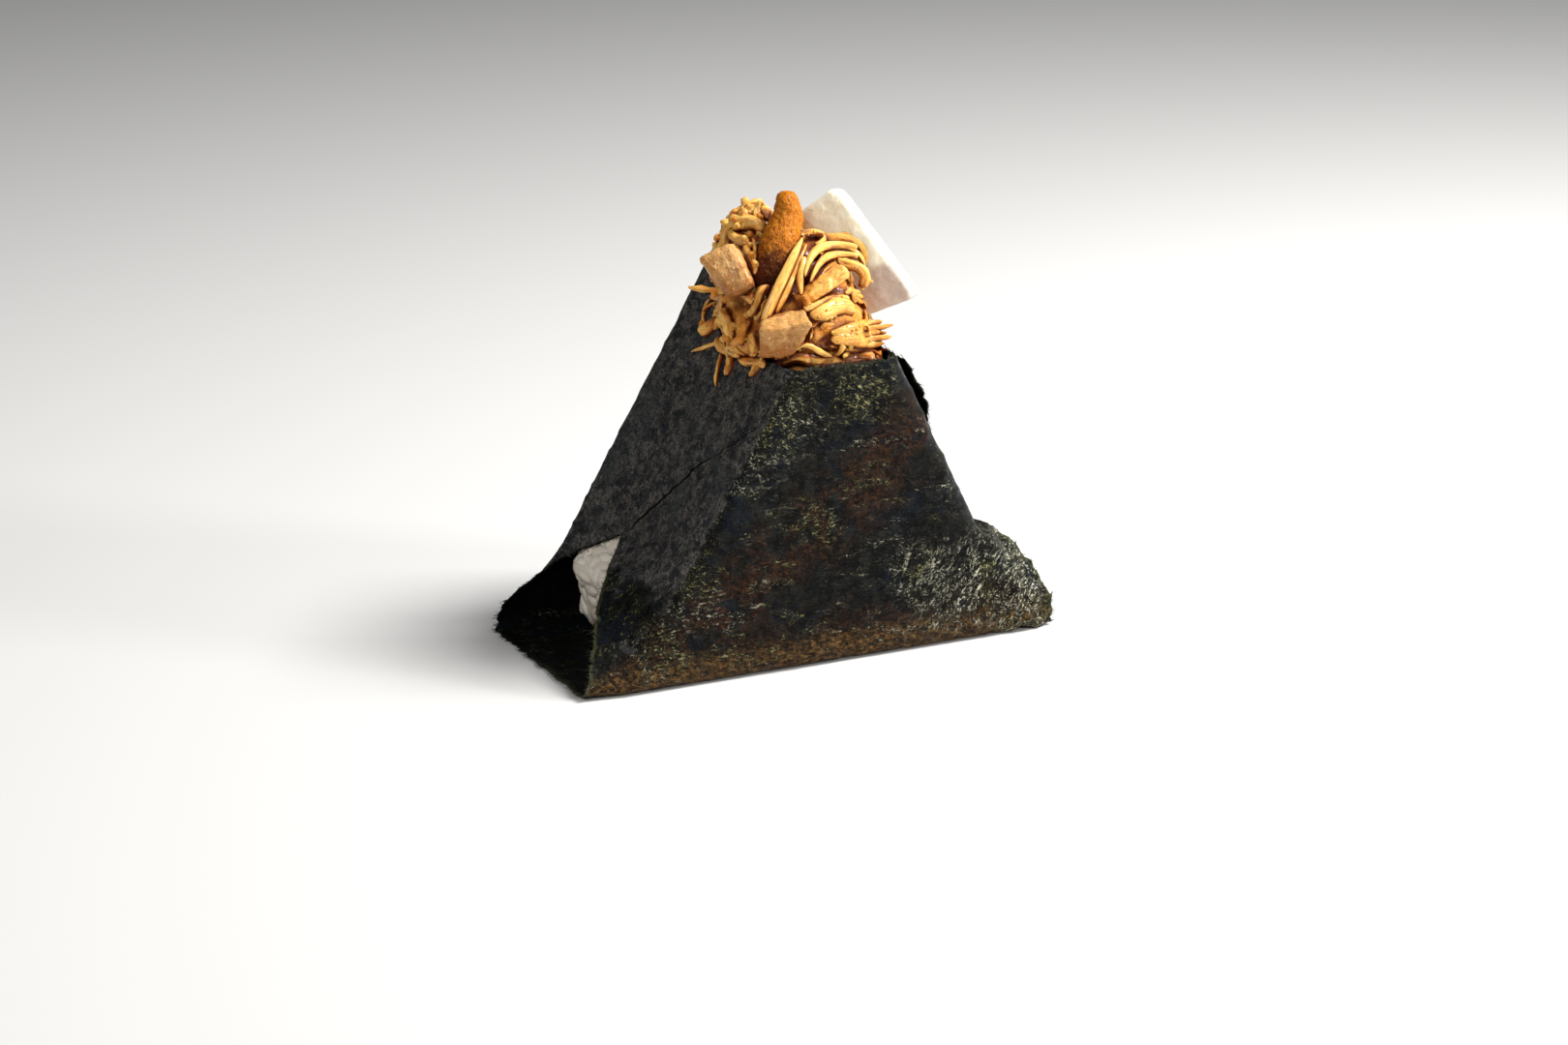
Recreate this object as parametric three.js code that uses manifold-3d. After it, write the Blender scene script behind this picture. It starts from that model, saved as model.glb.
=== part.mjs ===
// An onigiri: a triangular block of pressed rice wrapped in one half sheet of nori, left open at the top,
// where shredded chicken, one browned strip and a slab of white cheese stand out of it.
// Millimetres, +Z up. X runs along the base, Y through the thickness (-Y is the front face).
import * as THREE from 'three';
import { mergeVertices } from 'three/addons/utils/BufferGeometryUtils.js';
import { ConvexGeometry } from 'three/addons/geometries/ConvexGeometry.js';
import { MeshSurfaceSampler } from 'three/addons/math/MeshSurfaceSampler.js';
import Module from 'manifold-3d';

const wasm = await Module();
wasm.setup();

// ---------------------------------------------------------------- driving dimensions
const LEFT_FOOT = 44; // the wrapped triangle's lower corners, either side of the middle
const RIGHT_FOOT = 47.2;
const THICKNESS = 48; // front face to back face
const LEFT_ANGLE = THREE.MathUtils.degToRad(59.7); // slope of the left side
const RIGHT_ANGLE = THREE.MathUtils.degToRad(63.6); // slope of the right side
const FRONT_TOP = 61.7; // height of the front panel's upper edge
const BACK_TOP = 79; // height of the back panel's peak
const SIDE_DROP = { left: 17, right: 22 }; // how far the upper edge falls from the peak to the sides
const NORI_THICKNESS = 0.6;
const LAYER_STEP = 1.7; // the outer flaps lie this far outside the inner ones
const BACK_SKEW = 2.8; // the back face lies this much further left
const BOTTOM_RADIUS = 2.5; // fold between the faces and the underside
const UNDERSIDE_LIFT = 0.3; // the underside stands on the corners of its folds and lies this high between
const FIT_GAP = 0.35; // least air left between neighbouring pieces
const RICE_INSET = 2.2; // from the nori's middle surface to the rice block
const RICE_FLOOR = 1.2;
const RICE_TOP = 57; // level of the rice under the topping
const RICE_CORNER = 8;
const RICE_EDGE = 5;
const GRAIN = new THREE.Vector3(3, 1.4, 1.2); // half sizes of one cooked grain
const GRAIN_SPACING = 4.6;
const SHRED_SPACING = 6.2;
const SHREDS_SPREAD = 23; // shreds laid over the heap besides the placed ones

const HALF_THICKNESS = THICKNESS / 2;

// The heap of chicken is laid out from its best side: across, up and out towards the one who looks.
const HEAP_CENTRE = new THREE.Vector3(-1, -3, 74);
const HEAP_TURN = THREE.MathUtils.degToRad(-25.6);
const HEAP_TIP = THREE.MathUtils.degToRad(18);
const HEAP_OUT = new THREE.Vector3(
  Math.sin(HEAP_TURN) * Math.cos(HEAP_TIP),
  -Math.cos(HEAP_TURN) * Math.cos(HEAP_TIP),
  Math.sin(HEAP_TIP),
);
const HEAP_ACROSS = new THREE.Vector3(Math.cos(HEAP_TURN), Math.sin(HEAP_TURN), 0);
const HEAP_UP = HEAP_OUT.clone().cross(HEAP_ACROSS);

// ---------------------------------------------------------------- small helpers
function seeded(seed) {
  let state = seed >>> 0;
  return () => {
    state = (state + 0x6d2b79f5) >>> 0;
    let mixed = Math.imul(state ^ (state >>> 15), 1 | state);
    mixed = (mixed + Math.imul(mixed ^ (mixed >>> 7), 61 | mixed)) ^ mixed;
    return ((mixed ^ (mixed >>> 14)) >>> 0) / 4294967296;
  };
}

function solidOf(geometry) {
  const bare = new THREE.BufferGeometry().setAttribute('position', geometry.getAttribute('position'));
  if (geometry.index) bare.setIndex(geometry.index);
  const merged = mergeVertices(bare, 1e-3);
  return new wasm.Manifold(new wasm.Mesh({
    numProp: 3,
    vertProperties: new Float32Array(merged.attributes.position.array),
    triVerts: new Uint32Array(merged.index.array),
  }));
}

function geometryOf(solid) {
  const mesh = solid.getMesh();
  const positions = new Float32Array(mesh.numVert * 3);
  for (let i = 0; i < mesh.numVert; i++) {
    positions.set(mesh.vertProperties.subarray(i * mesh.numProp, i * mesh.numProp + 3), i * 3);
  }
  return new THREE.BufferGeometry()
    .setAttribute('position', new THREE.BufferAttribute(positions, 3))
    .setIndex(new THREE.BufferAttribute(mesh.triVerts, 1));
}

function united(solids) {
  return solids.reduce((whole, solid) => whole.add(solid));
}

// The largest body, without crumbs cut loose or hollows closed in.
function largestPiece(solid) {
  const largest = (whole) => whole.decompose().sort((a, b) => b.volume() - a.volume())[0];
  return largest(solidOf(geometryOf(largest(solid))));
}

// A value that runs straight between the given [height, value] stops.
function along(stops, height) {
  if (height <= stops[0][0]) return stops[0][1];
  for (let i = 1; i < stops.length; i++) {
    const [h0, v0] = stops[i - 1];
    const [h1, v1] = stops[i];
    if (height <= h1) return THREE.MathUtils.mapLinear(height, h0, h1, v0, v1);
  }
  return stops[stops.length - 1][1];
}

// ---------------------------------------------------------------- the wrapped triangle
function cornerX(side, height) {
  if (side < 0) return -LEFT_FOOT + height / Math.tan(LEFT_ANGLE);
  return RIGHT_FOOT - height / Math.tan(RIGHT_ANGLE);
}

// How the sheet goes round each of its four upright corners. turn is in degrees: at the ground the sheet
// runs straight past the corner and makes the mouth of a tube, and higher up it folds flat on the side.
const CORNERS = {
  frontLeft: {
    radius: 3.5,
    turn: [[0, 4], [4, 18], [9, 38], [15, 62], [21, 82], [25, 90]],
    flap: [[0, 8], [4, 8.4], [9, 9.9], [12, 11.9], [15, 14.7], [18, 17.3], [24, 26], [34, 33], [62, 37]],
  },
  frontRight: {
    radius: 5,
    turn: [[0, 5], [9, 25], [15, 43], [20, 60], [22.5, 88], [28, 90]],
    flap: [[0, 4.8], [6, 8], [12, 9.8], [20, 12.2], [22.5, 11.5], [24, 19], [38, 31], [62, 36]],
  },
  backLeft: {
    radius: 3,
    turn: [[0, 2], [8, 10], [11, 30], [14, 80], [17, 90]],
    flap: [
      [0, 5.8], [5, 7.2], [8, 5.8], [10, 2.8], [12, 0.6], [14, 0.6], [16, 3], [20, 7.4],
      [27, 16.5], [37, 23], [48, 29.8], [58, 40], [63, 44], [79, 44],
    ],
  },
  backRight: {
    radius: 4,
    turn: [[0, 3], [7, 12], [11, 30], [15, 72], [19, 88], [32, 90], [46, 80], [60, 73], [79, 78]],
    flap: [[0, 8], [6, 9], [11, 8], [15, 8.5], [24, 18], [42, 28], [60, 29.5], [79, 33]],
  },
};
const ACROSS = { face: 2, bend: 4, flap: 5 }; // steps of one half row of the sheet

// One half row: distance across the face, then round the bend, then along the folded flap.
function halfRow(cornerDistance, corner, height, step) {
  const turn = THREE.MathUtils.degToRad(along(corner.turn, height));
  const radius = Math.min(corner.radius, (0.85 * cornerDistance) / Math.tan(turn / 2));
  const straight = cornerDistance - radius * Math.tan(turn / 2);
  if (step <= ACROSS.face) return { across: (straight * step) / ACROSS.face, depth: 0 };
  const angle = turn * Math.min((step - ACROSS.face) / ACROSS.bend, 1);
  const beyond = (along(corner.flap, height) * Math.max(step - ACROSS.face - ACROSS.bend, 0)) / ACROSS.flap;
  return {
    across: straight + radius * Math.sin(angle) + beyond * Math.cos(turn),
    depth: radius * (1 - Math.cos(angle)) + beyond * Math.sin(turn),
  };
}

// The sheet's middle line, from the front panel's edge down, under and up the back. gather sets the rows
// closer together near the ground.
const ROWS = { front: 12, fold: 2, bottom: 4, back: 16, gather: 1.25 };
function spineAt(row) {
  const half = HALF_THICKNESS - BOTTOM_RADIUS;
  if (row <= ROWS.front) {
    const share = Math.pow(1 - row / ROWS.front, ROWS.gather);
    const height = THREE.MathUtils.lerp(BOTTOM_RADIUS, FRONT_TOP, share);
    return { outer: 0, y: -HALF_THICKNESS, height, inward: [1, 0] };
  }
  row -= ROWS.front;
  if (row < ROWS.fold) {
    const angle = (Math.PI / 2) * (row / ROWS.fold);
    return {
      outer: 0,
      y: -half - BOTTOM_RADIUS * Math.cos(angle),
      height: BOTTOM_RADIUS * (1 - Math.sin(angle)),
      inward: [Math.cos(angle), Math.sin(angle)],
    };
  }
  row -= ROWS.fold;
  if (row <= ROWS.bottom) {
    const share = row / ROWS.bottom;
    return { outer: share, y: half * (2 * share - 1), height: 0, inward: [0, 1] };
  }
  row -= ROWS.bottom;
  if (row < ROWS.fold) {
    const angle = (Math.PI / 2) * (row / ROWS.fold);
    return {
      outer: 1,
      y: half + BOTTOM_RADIUS * Math.sin(angle),
      height: BOTTOM_RADIUS * (1 - Math.cos(angle)),
      inward: [-Math.sin(angle), Math.cos(angle)],
    };
  }
  row -= ROWS.fold;
  return {
    outer: 1,
    y: HALF_THICKNESS,
    height: THREE.MathUtils.lerp(BOTTOM_RADIUS, BACK_TOP, Math.pow(row / ROWS.back, ROWS.gather)),
    inward: [-1, 0],
  };
}

// How far the underside lies above the four corners that it stands on.
const UNDERSIDE = { first: ROWS.front + ROWS.fold, last: ROWS.front + ROWS.fold + ROWS.bottom };
function undersideLift(row, column) {
  if (row < UNDERSIDE.first || row > UNDERSIDE.last) return 0;
  const onFold = row === UNDERSIDE.first || row === UNDERSIDE.last;
  return onFold && Math.abs(column) === ACROSS.face ? 0 : UNDERSIDE_LIFT;
}

function blended(a, b, share) {
  const mix = (p, q) => p.map(([h, v]) => [h, THREE.MathUtils.lerp(v, along(q, h), share)]);
  return { radius: a.radius, turn: mix(a.turn, b.turn), flap: mix(a.flap, b.flap) };
}

function sheetPoint(row, column) {
  const left = column < 0;
  const side = left ? -1 : 1;
  const spine = spineAt(row);
  const front = left ? CORNERS.frontLeft : CORNERS.frontRight;
  const back = left ? CORNERS.backLeft : CORNERS.backRight;
  const corner = spine.outer === 0 ? front : spine.outer === 1 ? back : blended(front, back, spine.outer);
  const layer = spine.outer * LAYER_STEP * THREE.MathUtils.smoothstep(spine.height, 0, 12);
  const drop = left ? SIDE_DROP.left : SIDE_DROP.right;
  let height = spine.height;
  let point;
  let middle;
  for (let pass = 0; pass < 3; pass++) {
    // the flaps of the back panel lie outside the front panel's, and fall from the peak to the sides
    middle = (cornerX(-1, height) + cornerX(1, height)) / 2 - spine.outer * BACK_SKEW;
    const reach = side * (cornerX(side, height) - spine.outer * BACK_SKEW - middle) + layer;
    point = halfRow(reach, corner, spine.height, Math.abs(column));
    const slump = Math.pow(spine.height / BACK_TOP, 1.5);
    const fall = drop * THREE.MathUtils.smoothstep(point.depth, 1, 19) * slump;
    height = spine.height - spine.outer * fall;
  }
  const [inY, inZ] = spine.inward;
  return new THREE.Vector3(
    middle + side * point.across,
    spine.y + inY * point.depth,
    height + inZ * point.depth + undersideLift(row, column),
  );
}

// A closed sheet: both faces split into triangles alike, and a rim all round. A grown sheet is thicker and
// reaches past the free edges, and is what the neighbours are cut back by.
function noriSheet(grow = 0) {
  const thickness = NORI_THICKNESS + 2 * grow;
  const half = ACROSS.face + ACROSS.bend + ACROSS.flap;
  const columns = 2 * half + 1;
  const rows = ROWS.front + 2 * ROWS.fold + ROWS.bottom + ROWS.back + 1;
  const middle = [];
  for (let r = 0; r < rows; r++) {
    for (let c = 0; c < columns; c++) middle.push(sheetPoint(r, c - half));
  }
  const at = (r, c) => middle[r * columns + c];
  const stretch = (point, inner) => point.addScaledVector(point.clone().sub(inner).normalize(), grow);
  for (let r = 0; r < rows; r++) {
    stretch(at(r, 0), at(r, 1));
    stretch(at(r, columns - 1), at(r, columns - 2));
  }
  for (let c = 0; c < columns; c++) {
    stretch(at(0, c), at(1, c));
    stretch(at(rows - 1, c), at(rows - 2, c));
  }
  const positions = [];
  for (const face of [1, -1]) {
    for (let r = 0; r < rows; r++) {
      for (let c = 0; c < columns; c++) {
        const alongRow = at(r, Math.min(c + 1, columns - 1)).clone().sub(at(r, Math.max(c - 1, 0)));
        const downRows = at(Math.min(r + 1, rows - 1), c).clone().sub(at(Math.max(r - 1, 0), c));
        const normal = downRows.cross(alongRow).normalize();
        positions.push(...at(r, c).clone().addScaledVector(normal, (face * thickness) / 2).toArray());
      }
    }
  }
  const under = rows * columns;
  const indices = [];
  const split = (a, b, c, d) => indices.push(a, b, c, a, c, d);
  for (let r = 0; r < rows - 1; r++) {
    for (let c = 0; c < columns - 1; c++) {
      const a = r * columns + c;
      const [b, d, e] = [a + 1, a + columns, a + columns + 1];
      indices.push(a, d, e, a, e, b);
      indices.push(under + a, under + e, under + d, under + a, under + b, under + e);
    }
  }
  for (let c = 0; c < columns - 1; c++) {
    const last = (rows - 1) * columns + c;
    split(c, c + 1, under + c + 1, under + c);
    split(last + 1, last, under + last, under + last + 1);
  }
  for (let r = 0; r < rows - 1; r++) {
    const first = r * columns;
    const end = first + columns - 1;
    split(first + columns, first, under + first, under + first + columns);
    split(end, end + columns, under + end + columns, under + end);
  }
  const geometry = new THREE.BufferGeometry();
  geometry.setAttribute('position', new THREE.Float32BufferAttribute(positions, 3));
  geometry.setIndex(indices);
  return solidOf(geometry);
}

// ---------------------------------------------------------------- rice
// Points of a ball with its own radius along each axis.
function ballPoints(centre, radii, detail = 2) {
  const points = new THREE.IcosahedronGeometry(1, detail).attributes.position;
  return Array.from({ length: points.count }, (_, i) => (
    new THREE.Vector3().fromBufferAttribute(points, i).multiply(radii).add(centre)
  ));
}

// A block with the triangle's slopes, rounded at the corners and along the long edges.
function riceBlock() {
  const rounds = [];
  const levels = [[RICE_FLOOR + RICE_CORNER, RICE_CORNER], [RICE_TOP - RICE_EDGE, RICE_EDGE]];
  for (const [height, radius] of levels) {
    for (const side of [-1, 1]) {
      const slope = side < 0 ? LEFT_ANGLE : RIGHT_ANGLE;
      const x = cornerX(side, height) - (side * (RICE_INSET + radius)) / Math.sin(slope);
      for (const face of [-1, 1]) {
        const y = face * (HALF_THICKNESS - RICE_INSET - RICE_EDGE);
        const skew = face > 0 ? BACK_SKEW : 0;
        const centre = new THREE.Vector3(x - skew, y, height);
        rounds.push(...ballPoints(centre, new THREE.Vector3(radius, RICE_EDGE, radius), 1));
      }
    }
  }
  return new ConvexGeometry(rounds);
}

// Points of a surface at least a spacing apart, with the way out of it at each.
function spreadOver(geometry, random, tries, spacing, keep) {
  const sampler = new MeshSurfaceSampler(new THREE.Mesh(geometry)).setRandomGenerator(random).build();
  const chosen = [];
  for (let i = 0; i < tries; i++) {
    const point = new THREE.Vector3();
    const normal = new THREE.Vector3();
    sampler.sample(point, normal);
    const clear = chosen.every((other) => other.point.distanceTo(point) > spacing);
    if (clear && keep(point, normal)) chosen.push({ point, normal });
  }
  return chosen;
}

function lyingOn(normal, angle) {
  const side = new THREE.Vector3(0, 0, 1).cross(normal);
  if (side.lengthSq() < 1e-6) side.set(1, 0, 0);
  side.normalize();
  return side.applyAxisAngle(normal, angle);
}

function riceSolid(nori) {
  const random = seeded(11);
  const block = riceBlock();
  const atMouth = ({ x, y, z }) => Math.abs(x) > 27 && Math.abs(y) < 21 && z < 26 && z > 3;
  const grains = spreadOver(block, random, 900, GRAIN_SPACING, atMouth).map(({ point, normal }) => {
    const length = lyingOn(normal, random() * Math.PI);
    const turned = new THREE.Matrix4().makeBasis(length, normal.clone().cross(length), normal);
    turned.setPosition(point.addScaledVector(normal, -0.1));
    const grain = new THREE.SphereGeometry(1, 6, 4).rotateZ(Math.PI / 2);
    return solidOf(grain.scale(...GRAIN.toArray()).applyMatrix4(turned));
  });
  return largestPiece(united([solidOf(block), ...grains]).subtract(nori));
}

// ---------------------------------------------------------------- topping
function inHeap(across, up, out) {
  return HEAP_CENTRE.clone()
    .addScaledVector(HEAP_ACROSS, across)
    .addScaledVector(HEAP_UP, up)
    .addScaledVector(HEAP_OUT, out);
}

// A rounded block along a line: boxy in its cross section, a little uneven, grown on every side when asked.
function lump({ from, to, width, thickness, roll = 0, wobble = 0.35, seed = 1 }, grow = 0) {
  const start = inHeap(...from);
  const end = inHeap(...to);
  const length = end.clone().sub(start);
  const half = new THREE.Vector3(length.length() / 2 + grow, width / 2 + grow, thickness / 2 + grow);
  length.normalize();
  const face = HEAP_OUT.clone().addScaledVector(length, -HEAP_OUT.dot(length)).normalize();
  face.applyAxisAngle(length, THREE.MathUtils.degToRad(roll));
  const frame = new THREE.Matrix4().makeBasis(length, face.clone().cross(length), face);
  frame.setPosition(start.add(end).multiplyScalar(0.5));
  const bare = new THREE.IcosahedronGeometry(1, 2).deleteAttribute('normal').deleteAttribute('uv');
  const ball = mergeVertices(bare, 1e-4);
  const points = ball.attributes.position;
  const point = new THREE.Vector3();
  for (let i = 0; i < points.count; i++) {
    point.fromBufferAttribute(points, i);
    const powers = point.toArray().map((value) => Math.pow(Math.abs(value), 3.2));
    const boxy = Math.pow(powers[0] + powers[1] + powers[2], -1 / 3.2);
    const uneven = wobble * Math.sin(3.1 * point.x + seed) * Math.cos(2.7 * point.y - 2 * seed + point.z);
    point.multiplyScalar(boxy).multiply(half);
    point.addScaledVector(point.clone().normalize(), uneven);
    points.setXYZ(i, point.x, point.y, point.z);
  }
  return solidOf(ball.applyMatrix4(frame));
}

// The slab: a square of cheese with rounded corners and edges.
const SLAB = { side: 27.5, depth: 24, thickness: 8, corner: 2.2, edge: 1 };
const SLAB_CORNERS = { top: [12, 20.2], right: [28.3, -2.6], out: -0.5, turn: 14 };
function cheeseSlab(grow = 0) {
  const halfSide = SLAB.side / 2 + grow;
  const halfDepth = SLAB.depth / 2 + grow;
  const r = SLAB.corner;
  const shape = new THREE.Shape()
    .moveTo(-halfSide + r, -halfDepth)
    .lineTo(halfSide - r, -halfDepth)
    .absarc(halfSide - r, -halfDepth + r, r, -Math.PI / 2, 0)
    .lineTo(halfSide, halfDepth - r)
    .absarc(halfSide - r, halfDepth - r, r, 0, Math.PI / 2)
    .lineTo(-halfSide + r, halfDepth)
    .absarc(-halfSide + r, halfDepth - r, r, Math.PI / 2, Math.PI)
    .lineTo(-halfSide, -halfDepth + r)
    .absarc(-halfSide + r, -halfDepth + r, r, Math.PI, 1.5 * Math.PI);
  const slab = new THREE.ExtrudeGeometry(shape, {
    depth: SLAB.thickness + 2 * grow - 2 * SLAB.edge,
    curveSegments: 3,
    bevelThickness: SLAB.edge,
    bevelSize: SLAB.edge,
    bevelOffset: -SLAB.edge,
    bevelSegments: 2,
  });
  slab.translate(0, 0, SLAB.edge - SLAB.thickness / 2 - grow);
  // the long free edge runs from the top corner down to the right one; the rest hangs inwards from it
  const top = inHeap(...SLAB_CORNERS.top, SLAB_CORNERS.out);
  const right = inHeap(...SLAB_CORNERS.right, SLAB_CORNERS.out);
  const edge = right.clone().sub(top).normalize();
  const inward = edge.clone().cross(HEAP_OUT).normalize();
  const turn = THREE.MathUtils.degToRad(SLAB_CORNERS.turn);
  inward.applyAxisAngle(edge, turn);
  const frame = new THREE.Matrix4().makeBasis(edge, inward.clone(), edge.clone().cross(inward));
  const centre = top.add(right).multiplyScalar(0.5).addScaledVector(inward, SLAB.depth / 2);
  frame.setPosition(centre);
  return solidOf(slab.applyMatrix4(frame));
}

const CHUNKS = {
  browned_strip: {
    from: [2.9, 17.4, 6], to: [-2.4, 0, 11], width: 7.4, thickness: 6, roll: -12, seed: 2,
  },
  chicken_chunk_left: {
    from: [-10.6, 6.6, 10], to: [-7.8, -2.2, 12.5], width: 6.6, thickness: 5.5, seed: 3,
  },
  chicken_chunk_middle: {
    from: [-1.4, -12.4, 15.5], to: [7, -8.6, 15], width: 8.4, thickness: 4.6, seed: 4,
  },
  chicken_chunk_right: {
    from: [5.2, -5.4, 14], to: [16.4, 2.2, 9.5], width: 5.6, thickness: 5, seed: 5,
  },
};

// Shreds placed by eye over the showing side: points across and up, how far they stand off, and a width.
const SHREDS = [
  { run: [[4.6, 8.1], [1, -0.3], [-2.4, -8.5]], lift: 0.8, width: 2.6 },
  { run: [[5.4, 6.9], [2.8, -0.3], [0.6, -5.6]], lift: 0.5, width: 1.8 },
  { run: [[5.9, 2.2], [7.2, 5.6], [12.2, 7.3], [14.2, 6]], lift: 0.5, width: 2.2 },
  { run: [[6.9, 0.6], [8.8, 3.9], [12, 5.2], [14.4, 3.9]], lift: 0.3, width: 2 },
  { run: [[5, 8.6], [6.9, 10], [9.1, 8.6], [8.2, 6.9]], lift: 0.5, width: 3 },
  { run: [[6.9, -8], [11, -5.4], [15.8, -5.6]], lift: 0.4, width: 4.2 },
  { run: [[9, -10.6], [15.8, -9.2], [23, -9.2]], lift: 0.4, width: 2.2 },
  { run: [[9.5, -12], [16, -11.4], [22.4, -11.8]], lift: 0.5, width: 2.4 },
  { run: [[10, -13], [16, -13], [22, -13.6]], lift: 0.4, width: 2.4 },
  { run: [[11, -14], [16, -14.6], [21.2, -15.2]], lift: 0.3, width: 2.4 },
  { run: [[3.8, -15], [6.5, -13.4], [11.2, -15.6]], lift: 0.6, width: 1.9 },
  { run: [[-10.6, -12], [-11.8, -17], [-12.3, -20.6]], lift: 0.6, width: 1.5 },
  { run: [[-9.3, -11.5], [-9.1, -16], [-10, -18.6]], lift: 0.6, width: 2.2 },
  { run: [[-1.5, -12], [-3.6, -15.9], [-5.1, -19.1]], lift: 0.6, width: 2.4 },
  { run: [[-9, -1.8], [-14.5, -1.6], [-17.4, -1]], lift: 0.3, width: 1.7 },
  { run: [[-9, -10.5], [-14, -12], [-17.6, -13]], lift: 0.3, width: 1.5 },
  { run: [[-12, 0], [-14.8, -5.1], [-13.5, -9.5]], lift: 0.3, width: 1.5 },
  { run: [[-15.2, -9.8], [-11.8, -7.2], [-7.5, -5.6]], lift: 0.5, width: 4 },
  { run: [[-10.4, -5.4], [-8.9, -9.4], [-8.5, -12.4]], lift: 0.6, width: 3.2 },
  { run: [[-12.1, -5.6], [-8, -4.1], [-4.4, -3.3]], lift: 0.5, width: 3.4 },
  { run: [[-6, -8], [-3.4, -4], [-1.9, -0.7]], lift: 0.5, width: 3 },
  { run: [[-9.4, 12], [-5.7, 11.4], [-1.6, 10.1]], lift: 0.4, width: 4.4 },
  { run: [[-6.6, 13.4], [-3.3, 14.4], [-0.8, 12.4]], lift: 0.3, width: 3.6 },
  { run: [[-11.4, 5], [-9.7, 9.6], [-6.8, 13]], lift: 0.3, width: 3.8 },
  { run: [[-6.1, 7.3], [-4.9, 3.9], [-3.6, 0.5]], lift: 0.4, width: 2.8 },
  { run: [[9.1, 10], [12.9, 8.6], [17.4, 5]], lift: 0.3, width: 3.6 },
  { run: [[15.7, 7], [18.4, 3.9], [17, 0.6]], lift: 0.3, width: 2.8 },
  { run: [[-6, -15.4], [-1, -14.6], [4.4, -15.6]], lift: 0.3, width: 3.6 },
  { run: [[-13, -13], [-8.4, -14.4], [-4, -14]], lift: 0.3, width: 3.4 },
  { run: [[-2, -15.8], [5, -17], [12, -17.2]], lift: 0.3, width: 4 },
  { run: [[8, -16.2], [14, -17], [20, -16.8]], lift: 0.3, width: 3.8 },
  { run: [[13, -8], [18, -7.4], [22, -8]], lift: 0.3, width: 3.2 },
];

// A shred: an oval tube along a smooth line, pointed at both ends, flat side to the heap.
function shred(line, width, thickness, flat) {
  const curve = new THREE.CatmullRomCurve3(line);
  const segments = 6;
  const sides = 5;
  const positions = [...curve.getPoint(0).toArray()];
  for (let s = 1; s < segments; s++) {
    const t = s / segments;
    const centre = curve.getPoint(t);
    const ahead = curve.getTangent(t);
    const across = ahead.clone().cross(flat).normalize();
    const up = across.clone().cross(ahead);
    const swell = Math.pow(Math.sin(Math.PI * t), 0.45);
    for (let k = 0; k < sides; k++) {
      const angle = (2 * Math.PI * k) / sides;
      const point = centre.clone()
        .addScaledVector(across, (Math.cos(angle) * width * swell) / 2)
        .addScaledVector(up, (Math.sin(angle) * thickness * swell) / 2);
      positions.push(...point.toArray());
    }
  }
  positions.push(...curve.getPoint(1).toArray());
  const last = positions.length / 3 - 1;
  const indices = [];
  for (let k = 0; k < sides; k++) {
    const next = (k + 1) % sides;
    indices.push(0, 1 + k, 1 + next);
    for (let s = 0; s < segments - 2; s++) {
      const a = 1 + s * sides;
      indices.push(a + k, a + sides + next, a + next, a + k, a + sides + k, a + sides + next);
    }
    indices.push(last, last - sides + next, last - sides + k);
  }
  const geometry = new THREE.BufferGeometry();
  geometry.setAttribute('position', new THREE.Float32BufferAttribute(positions, 3));
  geometry.setIndex(indices);
  return solidOf(geometry);
}

// The mound under the shreds, and the plug of it inside the wrapper.
function heapCore() {
  const ball = (middle, radii) => (
    ballPoints(new THREE.Vector3(...middle), new THREE.Vector3(...radii))
      .map((point) => inHeap(...point.toArray()))
  );
  const plug = [];
  const stops = [[-1, RICE_TOP], [-1, 60.5], [1, RICE_TOP], [1, 72]];
  for (const [face, height] of stops) {
    for (const side of [-1, 1]) {
      const skew = face > 0 ? BACK_SKEW : 0;
      const x = cornerX(side, height) - side * 2.6 - skew;
      plug.push(new THREE.Vector3(x, face * (HALF_THICKNESS - 1.2), height));
    }
  }
  const mound = new ConvexGeometry([
    ...ball([4.5, -10.5, 0], [16, 8.5, 16]),
    ...ball([1, 1, -1], [14, 10.5, 12]),
    ...ball([-4.5, 7.5, -2], [6, 6.5, 8]),
    ...ball([-5.5, 4.5, -13.5], [7, 9, 9]),
  ]);
  return { mound, solid: solidOf(mound).add(solidOf(new ConvexGeometry(plug))) };
}

// A shred's line, followed in short steps and laid on the mound; past the mound's edge it runs on level.
function laidLine(points, towards, lift, target) {
  const steps = 6;
  const curve = new THREE.CatmullRomCurve3(points);
  const caster = new THREE.Raycaster();
  let height = null;
  const line = [];
  for (let s = 0; s <= steps; s++) {
    const point = curve.getPoint(s / steps);
    caster.set(point.clone().addScaledVector(towards, 60), towards.clone().negate());
    const hit = caster.intersectObject(target)[0];
    if (hit) height = hit.point.clone().sub(point).dot(towards);
    line.push(height === null ? null : point.addScaledVector(towards, height + lift));
  }
  return line.filter(Boolean);
}

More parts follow.
